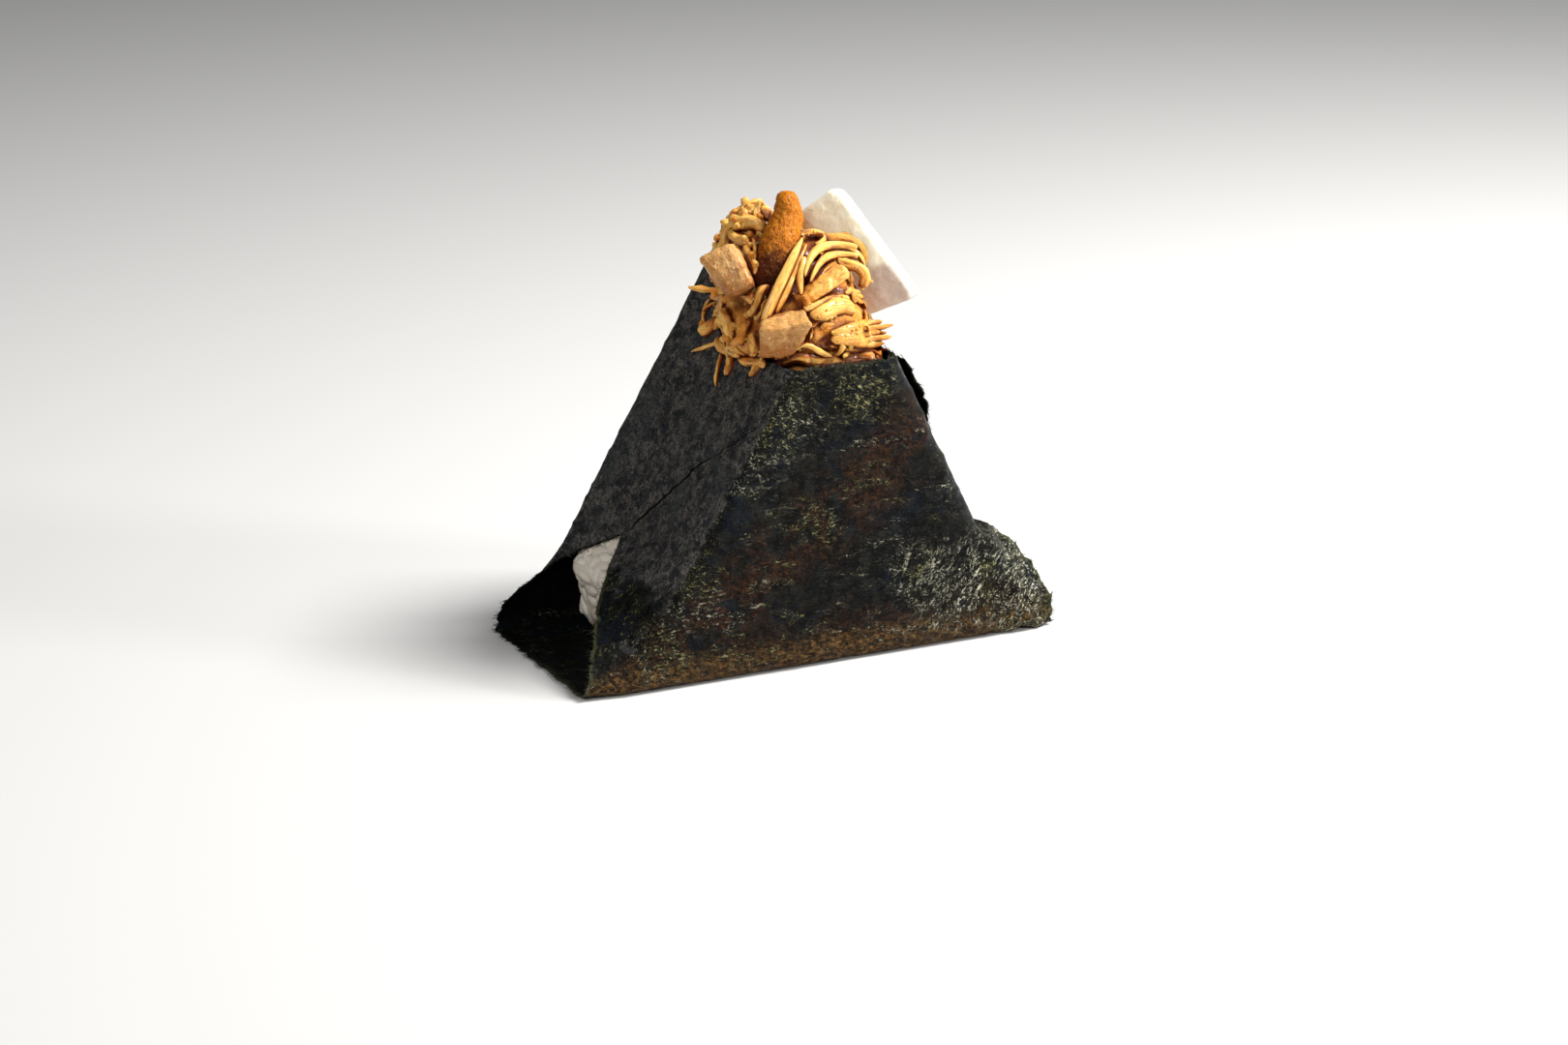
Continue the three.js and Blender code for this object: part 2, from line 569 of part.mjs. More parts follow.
function chickenHeap(nori, neighbours) {
  const random = seeded(29);
  const { mound, solid } = heapCore();
  const target = new THREE.Mesh(mound);
  const shreds = SHREDS.map(({ run, lift, width }) => {
    const points = run.map(([across, up]) => inHeap(across, up, 0));
    return { line: laidLine(points, HEAP_OUT, lift, target), width, flat: HEAP_OUT };
  });
  const hidden = (point, normal) => point.z > 62 && (normal.dot(HEAP_OUT) < 0.35 || normal.z > 0.8);
  const places = spreadOver(mound, random, 1500, SHRED_SPACING, hidden).slice(0, SHREDS_SPREAD);
  for (const { point, normal } of places) {
    const ahead = lyingOn(normal, random() * Math.PI);
    const half = 4.5 + 3.5 * random();
    const bend = normal.clone().cross(ahead).multiplyScalar(3 * (random() - 0.5));
    const points = [-half, 0, half].map((step) => point.clone().addScaledVector(ahead, step));
    points[1].add(bend);
    shreds.push({ line: laidLine(points, normal, 0.2, target), width: 1.9 + 2.2 * random(), flat: normal });
  }
  const solids = shreds
    .filter(({ line }) => line.length > 3)
    .sort((a, b) => b.width - a.width)
    .map(({ line, width, flat }) => shred(line, width, Math.max(1.4, 0.75 * width), flat));
  const room = new THREE.BoxGeometry(34, THICKNESS - 2, 20).translate(3, 0, RICE_TOP + FIT_GAP - 10);
  const heap = united([solid, ...solids]).subtract(nori).subtract(solidOf(room));
  return largestPiece(neighbours.reduce((left, neighbour) => left.subtract(neighbour), heap));
}

// ---------------------------------------------------------------- assembly
const group = new THREE.Group();
function addPiece(name, solid, colour, roughness) {
  const material = new THREE.MeshStandardMaterial({ color: colour, roughness, metalness: 0 });
  const mesh = new THREE.Mesh(geometryOf(solid), material);
  mesh.name = name;
  group.add(mesh);
}

const clearance = noriSheet(FIT_GAP);
addPiece('nori_sheet', noriSheet(), 0x1c211c, 0.5);
addPiece('rice_block', riceSolid(clearance), 0xe9ddd2, 0.45);
const grown = [cheeseSlab(FIT_GAP), ...Object.values(CHUNKS).map((chunk) => lump(chunk, FIT_GAP))];
addPiece('chicken_heap', chickenHeap(clearance, grown), 0xd9a05c, 0.55);
addPiece('cheese_slab', cheeseSlab(), 0xf3ecdf, 0.5);
const done = [cheeseSlab(FIT_GAP)];
for (const [name, chunk] of Object.entries(CHUNKS)) {
  const solid = done.reduce((left, other) => left.subtract(other), lump(chunk));
  addPiece(name, largestPiece(solid), name === 'browned_strip' ? 0xb9713a : 0xdcae78, 0.55);
  done.push(lump(chunk, FIT_GAP));
}

// The origin is the middle of the underside of the whole.
const whole = new THREE.Box3().setFromObject(group);
const middle = whole.getCenter(new THREE.Vector3());
for (const mesh of group.children) mesh.geometry.translate(-middle.x, -middle.y, -whole.min.z);

export default group;
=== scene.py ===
"""An onigiri: pressed rice folded in half a sheet of nori, open at the top, with shredded chicken, a browned
strip and a slab of white cheese standing out of it. Sizes are in millimetres until a mesh is written."""
import math
import random

import bpy
import numpy as np
from mathutils import Matrix, Vector, noise
from mathutils.bvhtree import BVHTree


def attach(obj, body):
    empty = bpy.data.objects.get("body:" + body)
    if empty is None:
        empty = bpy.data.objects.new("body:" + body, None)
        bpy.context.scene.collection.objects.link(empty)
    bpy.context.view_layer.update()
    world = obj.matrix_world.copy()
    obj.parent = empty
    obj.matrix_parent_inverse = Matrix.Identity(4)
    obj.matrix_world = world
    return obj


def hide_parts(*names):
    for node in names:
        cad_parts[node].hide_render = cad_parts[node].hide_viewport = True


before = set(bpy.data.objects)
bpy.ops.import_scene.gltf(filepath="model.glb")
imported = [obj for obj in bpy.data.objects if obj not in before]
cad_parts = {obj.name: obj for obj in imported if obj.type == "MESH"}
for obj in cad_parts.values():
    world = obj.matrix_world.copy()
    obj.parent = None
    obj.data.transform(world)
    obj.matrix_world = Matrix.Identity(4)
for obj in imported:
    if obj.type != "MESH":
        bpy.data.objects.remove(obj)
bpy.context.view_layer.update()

MM = 0.001
GOLDEN_TURN = math.pi * (3 - math.sqrt(5))
Z_TO_X = Matrix.Rotation(math.pi / 2, 4, "Y")

# the wrapped triangle, as in the solids
LEFT_FOOT, RIGHT_FOOT = 44.0, 47.2
THICKNESS = 48.0
LEFT_ANGLE, RIGHT_ANGLE = math.radians(59.7), math.radians(63.6)
FRONT_TOP, BACK_TOP = 61.7, 79.0
SIDE_DROP = {"left": 17.0, "right": 22.0}  # how much lower the back's flaps end than its middle
LAYER_STEP = 0.9
EDGE_TUCK = 0.72  # a flap's free edge is pressed this much closer to the layer under it
UPPER_TUCK = 0.16  # and this much more in its upper part
BACK_SKEW = 2.8  # the back panel lies this far to the left of the front one
BOTTOM_RADIUS = 2.5
SHEET_OUTSIDE = 0.3  # from the fold's middle line out to the sheet's outer face
SHEET_THICKNESS = 0.45
SHEET_LIFT = 0.3  # between its fold corners the underside stands this far up

# the rice
RICE_FOOT, RICE_TOP = 1.2, 57.3
RICE_INSET = 2.8
RICE_ROUNDING = 4
GRAIN_RADII = (3.0, 1.35, 1.15)
GRAIN_SPACING = 2.3

# the heap, laid out from its best side
HEAP_CENTRE = Vector((-1, -3, 74.3))
HEAP_TURN, HEAP_TIP = math.radians(-25.6), math.radians(18)
HEAP_OUT = Vector((
    math.sin(HEAP_TURN) * math.cos(HEAP_TIP),
    -math.cos(HEAP_TURN) * math.cos(HEAP_TIP),
    math.sin(HEAP_TIP),
))
HEAP_ACROSS = Vector((math.cos(HEAP_TURN), math.sin(HEAP_TURN), 0))
HEAP_UP = HEAP_OUT.cross(HEAP_ACROSS)
MOUND_BALLS = (  # centre across, up and out, then radii
    ((4.5, -10.5, 0), (16, 8.5, 16)),
    ((1, 1, -1), (14, 10.5, 12)),
    ((-5.0, 8.8, -2), (6.6, 7.2, 7.4)),
    ((-5.5, 4.5, -13.5), (7, 9, 9)),
)
SHRED_COVER = 1.0  # the mound is this much smaller than its balls, to leave room for shreds
PLUG_FRONT_TOP, PLUG_BACK_TOP = 60.5, 72.0
PLUG_SIDE_GAP, PLUG_FACE_GAP = 3, 1.6
LOWEST_SHRED = 62.5

# the cheese
CHEESE_SIZE = (27.5, 24, 8)
CHEESE_CORNER, CHEESE_EDGE = 2.2, 0.7

# how finely a piece is rebuilt before its surface is roughened
MOUND_VOXEL, CHEESE_VOXEL, MEAT_VOXEL = 0.9, 0.35, 0.22


# ---------------------------------------------------------------- working with pieces
def only(piece):
    bpy.ops.object.select_all(action="DESELECT")
    piece.select_set(True)
    bpy.context.view_layer.objects.active = piece
    return piece


def named(name):
    piece = bpy.context.object
    piece.name = piece.data.name = name
    return only(piece)


def copy_of(model):
    copy = model.copy()
    copy.data = model.data.copy()
    bpy.context.collection.objects.link(copy)
    return copy


def finished_by(piece, kind, **settings):
    """Adds a modifier and applies it."""
    only(piece)
    modifier = piece.modifiers.new(kind, kind)
    for setting, value in settings.items():
        setattr(modifier, setting, value)
    bpy.ops.object.modifier_apply(modifier=modifier.name)


def rebuilt(piece, voxel):
    finished_by(piece, "REMESH", mode="VOXEL", voxel_size=voxel * MM)


def edited(piece, *steps):
    """Runs edit-mode steps on the piece, each a function of no arguments."""
    only(piece)
    bpy.ops.object.mode_set(mode="EDIT")
    for step in steps:
        step()
    bpy.ops.object.mode_set(mode="OBJECT")


def all_edited(piece, *steps):
    """Runs edit-mode steps with the whole piece selected."""
    edited(piece, lambda: bpy.ops.mesh.select_all(action="SELECT"), *steps)


def pick(piece, test, kind="VERT"):
    """In object mode: selects the vertices or edges that pass a test, and nothing else."""
    only(piece)
    bpy.ops.object.mode_set(mode="EDIT")
    bpy.ops.mesh.select_mode(type=kind)
    bpy.ops.mesh.select_all(action="DESELECT")
    bpy.ops.object.mode_set(mode="OBJECT")
    for part in {"VERT": piece.data.vertices, "EDGE": piece.data.edges}[kind]:
        part.select = bool(test(part))


def settled(piece, matrix):
    """Turns, scales and places the piece by changing its mesh."""
    piece.matrix_world = matrix
    only(piece)
    bpy.ops.object.transform_apply(location=True, rotation=True, scale=True)


def points_of(piece):
    flat = np.empty(len(piece.data.vertices) * 3)
    piece.data.vertices.foreach_get("co", flat)
    return flat.reshape(-1, 3) / MM


def move_points(piece, points):
    piece.data.vertices.foreach_set("co", (np.asarray(points) * MM).ravel())
    piece.data.update()


def point_values(piece, name, values):
    layer = piece.data.attributes.new(name, "FLOAT", "POINT")
    layer.data.foreach_set("value", np.ascontiguousarray(values, dtype=np.float32))


def one_value(piece, name, value):
    point_values(piece, name, [value] * len(piece.data.vertices))


def point_vectors(piece, name, vectors):
    layer = piece.data.attributes.new(name, "FLOAT_VECTOR", "POINT")
    layer.data.foreach_set("vector", np.ascontiguousarray(vectors, dtype=np.float32).ravel())


def joined(pieces, name):
    only(pieces[0])
    for piece in pieces[1:]:
        piece.select_set(True)
    bpy.ops.object.join()
    return named(name)


def lumps(piece, *sizes_and_heights):
    """Pushes the surface in and out by soft cloud patterns, one after the other."""
    for size, height in sizes_and_heights:
        cloud = bpy.data.textures.new("lumps", "CLOUDS")
        cloud.noise_scale = size * MM
        cloud.noise_depth = 2
        finished_by(piece, "DISPLACE", texture=cloud, strength=height * MM, mid_level=0.5)


def tree_of(*pieces):
    """A tree of all the pieces' faces, in metres, for looking along a line."""
    points, faces = [], []
    for piece in pieces:
        start = len(points)
        points += [v.co for v in piece.data.vertices]
        faces += [[start + v for v in face.vertices] for face in piece.data.polygons]
    return BVHTree.FromPolygons(points, faces)


def even_looks(count):
    """Directions spread evenly over a sphere."""
    looks = []
    for k in range(count):
        up = 1 - (2 * k + 1) / count
        flat = math.sqrt(1 - up * up)
        looks.append(Vector((flat * math.cos(GOLDEN_TURN * k), flat * math.sin(GOLDEN_TURN * k), up)))
    return looks


def set_occlusion_shade(pieces, around, reach=9):
    """Gives each point how far it lies hidden: the share of outward looks that something blocks, which the
    meat's finish paints as shade.
    """
    tree = tree_of(*pieces, *around)
    looks = even_looks(22)
    for piece in pieces:
        hidden = []
        for vertex in piece.data.vertices:
            start = vertex.co + vertex.normal * 0.25 * MM
            ways = [look for look in looks if look.dot(vertex.normal) > 0.15]
            blocked = sum(tree.ray_cast(start, look, reach * MM)[0] is not None for look in ways)
            hidden.append(blocked / max(len(ways), 1))
        point_values(piece, "inner", hidden)


def complete(piece, material, node):
    """Gives a piece its material and hides the solid it stands for."""
    piece.data.materials.clear()
    piece.data.materials.append(material)
    only(piece)
    bpy.ops.object.shade_smooth()
    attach(piece, "root")
    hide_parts(node)


def smoothstep(values, low, high):
    share = np.clip((values - low) / (high - low), 0, 1)
    return share * share * (3 - 2 * share)


def in_heap(across, up, out=0.0):
    return HEAP_CENTRE + across * HEAP_ACROSS + up * HEAP_UP + out * HEAP_OUT


def corner_x(side, height):
    if side < 0:
        return -LEFT_FOOT + height / math.tan(LEFT_ANGLE)
    return RIGHT_FOOT - height / math.tan(RIGHT_ANGLE)


# ---------------------------------------------------------------- finishes
class Value:
    """A number, colour or vector on its way through a finish; sums on it add Math nodes."""

    def __init__(self, finish, socket):
        self.finish = finish
        self.socket = socket

    def maths(self, operation, *values):
        return self.finish.node("ShaderNodeMath", {"operation": operation}, dict(enumerate(values)))

    def __add__(self, other):
        return self.maths("ADD", self, other)

    def __sub__(self, other):
        return self.maths("SUBTRACT", self, other)

    def __rsub__(self, other):
        return self.maths("SUBTRACT", other, self)

    def __mul__(self, other):
        return self.maths("MULTIPLY", self, other)

    def __truediv__(self, other):
        return self.maths("DIVIDE", self, other)

    def __abs__(self):
        return self.maths("ABSOLUTE", self)

    def most(self, other):
        return self.maths("MAXIMUM", self, other)

    __radd__ = __add__
    __rmul__ = __mul__


class Finish:
    """A material, laid out node by node."""

    def __init__(self, name):
        self.material = bpy.data.materials.new(name)
        self.material.use_nodes = True
        self.tree = self.material.node_tree
        self.shader = self.tree.nodes["Principled BSDF"]
        self.place = self.node("ShaderNodeTexCoord", output="Object")

    def node(self, kind, settings=None, inputs=None, output=0):
        made = self.tree.nodes.new(kind)
        for name, setting in (settings or {}).items():
            setattr(made, name, setting)
        for name, value in (inputs or {}).items():
            self.feed(made.inputs[name], value)
        return Value(self, made.outputs[output])

    def feed(self, socket, value):
        if isinstance(value, Value):
            self.tree.links.new(value.socket, socket)
        else:
            socket.default_value = value

    def noise(self, size, detail=3.0, roughness=0.5, distortion=0.0, place=None):
        """A cloud whose features are about size millimetres across."""
        return self.node("ShaderNodeTexNoise", None, {
            "Vector": place or self.place,
            "Scale": 1 / (size * MM),
            "Detail": detail,
            "Roughness": roughness,
            "Distortion": distortion,
        })

    def between(self, value, low, high, start=0.0, end=1.0):
        """Runs smoothly from start to end as the value goes from low to high."""
        return self.node(
            "ShaderNodeMapRange",
            {"interpolation_type": "SMOOTHSTEP"},
            {"Value": value, "From Min": low, "From Max": high, "To Min": start, "To Max": end},
        )

    def mix(self, share, first, second, blend="MIX"):
        colours = [(*c, 1) if isinstance(c, tuple) else c for c in (first, second)]
        return self.node(
            "ShaderNodeMix",
            {"data_type": "RGBA", "blend_type": blend},
            {0: share, 6: colours[0], 7: colours[1]},
            output=2,
        )

    def run(self, value, low, high, colours):
        """Runs from the first colour to the second as the value goes from low to high."""
        return self.mix(self.between(value, low, high), *colours)

    def attribute(self, name):
        return self.node("ShaderNodeAttribute", {"attribute_name": name}, output="Fac")

    def vector(self, name):
        return self.node("ShaderNodeAttribute", {"attribute_name": name}, output="Vector")

    def shifted(self, x, y=0.0):
        """The piece's place, moved, so that two clouds of one size differ."""
        return self.node("ShaderNodeVectorMath", {"operation": "ADD"}, {0: self.place, 1: (x, y, 0.0)})

    def streaked(self, turn, stretch, seed):
        """The piece's place, turned and squeezed along one line, so that clouds on it become streaks."""
        return self.node("ShaderNodeMapping", {"vector_type": "TEXTURE"}, {
            "Vector": self.place,
            "Location": (seed, seed, 0),
            "Rotation": tuple(math.radians(a) for a in turn),
            "Scale": (stretch, 1, 1),
        })

    def threads(self, size, turn, seed):
        """Short straight threads that lie one way, bent a little."""
        cloud = self.noise(size, 1.5, 0.5, 0.5, self.streaked(turn, 6, seed))
        return self.between(cloud, 0.60, 0.68)

    def axis(self, letter):
        return self.node("ShaderNodeSeparateXYZ", None, {0: self.place}, output=letter) / MM

    def near(self, centre, radius):
        """1 at a point of the piece, falling to 0 a radius in millimetres away."""
        away = self.node(
            "ShaderNodeVectorMath",
            {"operation": "DISTANCE"},
            {0: self.place, 1: tuple(c * MM for c in centre)},
            output="Value",
        )
        return self.between(away, radius * MM, 0.35 * radius * MM)

    def bumps(self, *layers):
        """Bumps over bumps, each a height, its depth in millimetres and its strength."""
        relief = None
        for height, depth, strength in layers:
            inputs = {"Height": height, "Distance": depth * MM, "Strength": strength}
            if relief:
                inputs["Normal"] = relief
            relief = self.node("ShaderNodeBump", None, inputs)
        return relief

    def surface(self, **sockets):
        for name, value in sockets.items():
            self.feed(self.shader.inputs[name.replace("_", " ")], value)
        return self.material


# Each pair is what a part of the sheet varies between.
GLOSSY_NORI = ((0.0006, 0.0007, 0.0009), (0.0060, 0.0060, 0.0046))
# painted sheen: the lighter grey of the matt flanks
PAINTED_SHEEN_NORI = ((0.018, 0.019, 0.022), (0.078, 0.071, 0.064))
# painted light: the next two are the brown of light shining through the thin sheet
REDDISH_GLOW_NORI = ((0.005, 0.0018, 0.001), (0.040, 0.014, 0.0045))
GOLDEN_GLOW_NORI = ((0.018, 0.009, 0.003), (0.098, 0.052, 0.016))
GREEN_NORI = ((0.0012, 0.0014, 0.001), (0.018, 0.020, 0.008))
# painted glints: the pale colours of the threads
PAINTED_GLINTS = ((0.42, 0.38, 0.13), (0.84, 0.80, 0.58))
BLUE_NORI, SLATE_NORI = (0.001, 0.0035, 0.008), (0.028, 0.034, 0.034)
# painted shadow in the crack under a flap's edge; the torn edge's pale olive is its own
CRACK_SHADOW, TORN_EDGE = (0.001, 0.001, 0.001), (0.070, 0.074, 0.026)
# painted shade of the sheet's inside
INSIDE_SHADE_NORI = (0.0010, 0.0012, 0.0012)
# where the painted glints gather
GLINT_PATCHES = (  # centre and radius
    ((34, -25, 12), 13), ((22, -25, 16), 10), ((-22, -25, 46), 10), ((-29, -25, 20), 8),
    ((-12, -25, 53), 12), ((-36, -25, 8), 9), ((8, -25, 57), 9), ((-2, -25, 30), 6),
)


def nori_glint_patches(f, mottle, matt_sheen_part, ear):
    """Where the surface is covered with pale threads painted as glints: in waves, in places and on the ear.
    """
    waves = f.between(f.noise(3.0, 3, 0.6, 0.5, f.streaked((0, 8, 0), 3.0, 0.3)), 0.54, 0.62)
    glint_patches = 0.55 * waves
    for centre, radius in GLINT_PATCHES:
        glint_patches = glint_patches.most(f.near(centre, radius) * f.between(mottle, 0.45, 0.55))
    glint_patches = glint_patches * (1 - 0.9 * matt_sheen_part)
    return glint_patches.most(ear * f.between(mottle, 0.40, 0.50))


def nori_glint_threads(f, height, to_ear):
    """The pale threads, painted as glints, lie level below, slope down to the right above and rise to the
    right on the ear.
    """
    above = f.between(height, 36, 46)
    threads = f.threads(0.40, (0, 4, 12), 0.11) * (1 - 0.7 * to_ear) * (1 - 0.6 * above)
    for share, size, turn, seed in (
        (above, 0.42, (0, 30, -10), 0.37),
        (to_ear, 0.42, (0, -48, 10), 0.71),
        (1, 0.30, (0, -18, 40), 0.53),
        (0.8 * to_ear, 0.34, (0, -75, 30), 0.91),
    ):
        threads = threads.most(f.threads(size, turn, seed) * share)
    return threads * f.between(f.noise(1.1, 4, 0.7, 0.8, f.shifted(0.2)), 0.36, 0.56)


def nori_finish():
    f = Finish("nori")
    flank, inside, ear, edge = (f.attribute(name) for name in ("flank", "inside", "ear", "edge"))
    height, depth = f.axis("Z"), f.axis("Y")
    front = f.between(depth, -21.5, -23.6) * (1 - inside)
    front_flap = f.between(depth, 4, -6)
    to_ear = f.near((36, -25, 12), 26)
    crumbly = 3 * (f.noise(5, 3, 0.6, 0.4, f.shifted(0.6)) - 0.5)
    cloudy = f.noise(11, 3, 0.55, 0.4)
    mottle = f.noise(2.4, 5, 0.68, 0.6)
    fine = f.noise(0.8, 3, 0.65, 0.5)
    crumple = f.noise(3.4, 4, 0.6, 0.9)
    weave = f.noise(0.7, 5, 0.75, 0.8, f.streaked((0, 12, 0), 2.2, 0.8))
    grit = f.noise(0.5, 5, 0.8, 1.2)

    # the flanks are matt, and painted a lighter grey for the sheen they catch, above the lowest part; the
    # rest is lively
    matt_sheen_part = f.between(flank + 0.5 * (mottle - 0.5), 0.42, 0.58)
    matt_sheen_part = matt_sheen_part * f.between(height + 5 * crumbly + 12 * (1 - front_flap), 17, 22)
    lively = 1 - 0.9 * matt_sheen_part
    glint_patches = nori_glint_patches(f, mottle, matt_sheen_part, ear)
    threads = nori_glint_threads(f, height, to_ear)

    blue = f.between(f.noise(9, 3, 0.6, 0.3, f.shifted(0, 0.5)), 0.5, 0.60)
    ground = f.run(mottle, 0.40, 0.64, GLOSSY_NORI)
    ground = f.mix(blue * 0.7, ground, BLUE_NORI)
    # painted sheen: the flank's lighter, slate-tinged grey stands for the light it catches
    sheen_grey = f.run(mottle, 0.40, 0.60, PAINTED_SHEEN_NORI)
    sheen_grey = f.mix(f.between(cloudy, 0.50, 0.66) * 0.5, sheen_grey, SLATE_NORI)
    sheen_grey = f.mix(1, sheen_grey, f.between(grit, 0.40, 0.62, 0.15, 2.4), "MULTIPLY")
    colour = f.mix(matt_sheen_part, ground, sheen_grey)

    # painted light: brown where light shines through the thin sheet, reddish across the front, golden low on
    # it
    diagonal = f.between(abs(height - 31 - 0.75 * f.axis("X")), 15, 3)
    thin = f.between(f.noise(7, 4, 0.62, 0.5, f.shifted(0.9)), 0.42, 0.54)
    reddish_glow = 0.75 * thin * front * diagonal.most(0.8 * f.between(height, 16, 6))
    golden_glow = f.between(height + 5 * (mottle - 0.5), 8.5, 3.5) * front
    colour = f.mix(reddish_glow, colour, f.run(fine, 0.35, 0.65, REDDISH_GLOW_NORI))
    colour = f.mix(golden_glow * 0.9, colour, f.run(fine, 0.35, 0.65, GOLDEN_GLOW_NORI))

    colour = f.mix(glint_patches * 0.6, colour, f.run(fine, 0.38, 0.6, GREEN_NORI))
    woven = f.mix(1, colour, f.between(weave, 0.40, 0.64, 0.12, 2.3), "MULTIPLY")
    colour = f.mix(lively, colour, woven)
    # painted glints: pale threads, brighter on the ear, strongest in the glint patches
    glint_colour = f.run(cloudy + 0.15 * to_ear, 0.46, 0.60, PAINTED_GLINTS)
    colour = f.mix(threads * (0.05 + 0.90 * glint_patches), colour, glint_colour)

    # the flaps' free edges: a broken painted shadow line where they lie on a layer, pale and torn low down
    crack_shadow_span = f.between(height + 10 * crumbly, 54, 40) * f.between(mottle, 0.34, 0.46)
    crack_shadow = f.between(edge + 0.6 * fine, 0.95, 1.10) * flank * crack_shadow_span
    colour = f.mix(crack_shadow * 0.95, colour, CRACK_SHADOW)
    torn = f.between(edge, 0.1, 0.8) * front_flap * f.between(height, 34, 22)
    colour = f.mix(torn * f.between(fine, 0.3, 0.6) * 0.8, colour, TORN_EDGE)
    # the inside is painted near black as shade, less where it lies on the ground
    lying = f.between(height, 5, 1.5)
    colour = f.mix(inside * (0.9 - 0.45 * lying), colour, INSIDE_SHADE_NORI)

    rough = f.between(cloudy, 0.35, 0.65, 0.40, 0.24) + 0.40 * matt_sheen_part
    rough = rough - 0.10 * threads * (1 - matt_sheen_part)
    gloss = 0.9 * threads * glint_patches + 0.10 * f.between(mottle, 0.45, 0.6)
    return f.surface(
        Base_Color=colour,
        Roughness=rough + 0.3 * inside,
        Normal=f.bumps((crumple, 0.8, 0.9), (threads + 0.5 * mottle, 0.25, 1.0), (grit, 0.22, 0.9)),
        Specular_IOR_Level=0.06,
        Coat_Weight=gloss * (1 - 0.85 * matt_sheen_part) * (1 - inside),
        Coat_Roughness=0.24,
    )


def fringe_finish():
    f = Finish("nori fibres")
    colour = f.mix(f.attribute("tone"), (0.008, 0.009, 0.006), (0.075, 0.078, 0.036))
    colour = f.mix(f.between(f.noise(1.5, 2), 0.4, 0.6) * 0.5, colour, (0.012, 0.012, 0.010))
    return f.surface(Base_Color=colour, Roughness=0.5, Specular_IOR_Level=0.3)


def rice_finish():
    f = Finish("cooked rice")
    colour = f.mix(f.attribute("tone"), (0.62, 0.54, 0.45), (0.82, 0.74, 0.63))
    colour = f.mix(f.between(f.noise(5, 2), 0.45, 0.7) * 0.4, colour, (0.56, 0.50, 0.38))
    return f.surface(
        Base_Color=colour,
        Roughness=f.between(f.noise(2.2, 2), 0.35, 0.65, 0.3, 0.5),
        Normal=f.bumps((f.noise(0.9, 3, 0.5), 0.10, 0.5)),
        Subsurface_Weight=0.25, Subsurface_Radius=(1.0, 0.8, 0.6), Subsurface_Scale=1.5 * MM,
    )


def chicken_finish(name, light, pale, warm, deep_grain_and_shade, grain=0.7, rise=0.5, shine=0.5, fibrous=True):
    """Meat in four colours, from its painted glint flecks down to the painted shade of its crevices. Rise is
    how much the tone decides.
    """
    f = Finish(name)
    tone, inner, strands = f.attribute("tone"), f.attribute("inner"), f.vector("strand_place")
    mottle = f.noise(2.2, 4, 0.6, 0.5)
    crumb = f.noise(grain, 4, 0.65, 0.3, strands if fibrous else None)
    line = f.noise(0.30, 2, 0.6, 0.4, strands)
    glint_fleck = f.between(f.noise(0.42, 3, 0.7, 0.6), 0.60, 0.68)
    colour = f.run(mottle + rise * tone, 0.26 + 0.45 * rise, 0.62 + 0.5 * rise, (warm, pale))
    # painted shade: half-hidden parts go warmer
    colour = f.mix(f.between(inner + 0.3 * mottle, 0.30, 0.55) * 0.7, colour, warm)
    colour = f.mix(f.between(line, 0.54, 0.38) * 0.5, colour, warm)
    # dark grain in the last colour, which also paints the crevices' shade
    colour = f.mix(f.between(crumb, 0.46, 0.28) * 0.30, colour, deep_grain_and_shade)
    # painted highlight: pale flecks in the first colour stand for glints on the moist meat
    colour = f.mix(glint_fleck * 0.75, colour, light)
    # painted shade: the most hidden parts go deep
    colour = f.mix(f.between(inner + 0.25 * mottle, 0.30, 0.78), colour, deep_grain_and_shade)
    return f.surface(
        Base_Color=colour,
        Roughness=f.between(crumb, 0.35, 0.65, 0.22, 0.5),
        Normal=f.bumps((line, 0.26, 0.9), (crumb, 0.28, 0.7), (glint_fleck, 0.08, 0.8)),
        Specular_IOR_Level=0.4 * shine,
        Subsurface_Weight=0.4, Subsurface_Radius=(1.0, 0.42, 0.16), Subsurface_Scale=1.2 * MM,
        Coat_Weight=f.between(crumb, 0.46, 0.60) * shine,
        Coat_Roughness=0.14,
    )


def cheese_finish():
    f = Finish("white cheese")
    cloudy = f.noise(6, 3, 0.5)
    curd = f.noise(0.8, 4, 0.6, 0.4)
    speck = f.between(f.noise(2.4, 1, 0.4), 0.74, 0.79)
    colour = f.run(cloudy, 0.35, 0.65, ((0.95, 0.87, 0.66), (0.98, 0.93, 0.75)))
    colour = f.mix(speck * 0.55, colour, (0.58, 0.50, 0.20))
    # a painted cast shadow makes the lower half greyer
    slope = HEAP_UP - 0.28 * HEAP_ACROSS
    inputs = {0: f.place, 1: slope}
    rise = f.node("ShaderNodeVectorMath", {"operation": "DOT_PRODUCT"}, inputs, output="Value")
    border, softness = in_heap(16.2, 2.1).dot(slope) * MM, 1.2 * MM
    cast_shadow = f.between(rise + 4 * MM * (cloudy - 0.5), border + softness, border - softness)
    colour = f.mix(cast_shadow * (0.72 + 0.5 * (curd - 0.5)), colour, (0.50, 0.38, 0.33))
    return f.surface(
        Base_Color=colour,
        Roughness=f.between(curd, 0.35, 0.65, 0.38, 0.58),
        Normal=f.bumps((curd, 0.16, 0.6)),
        Subsurface_Weight=0.2, Subsurface_Radius=(1.0, 0.85, 0.7), Subsurface_Scale=1.5 * MM,
    )


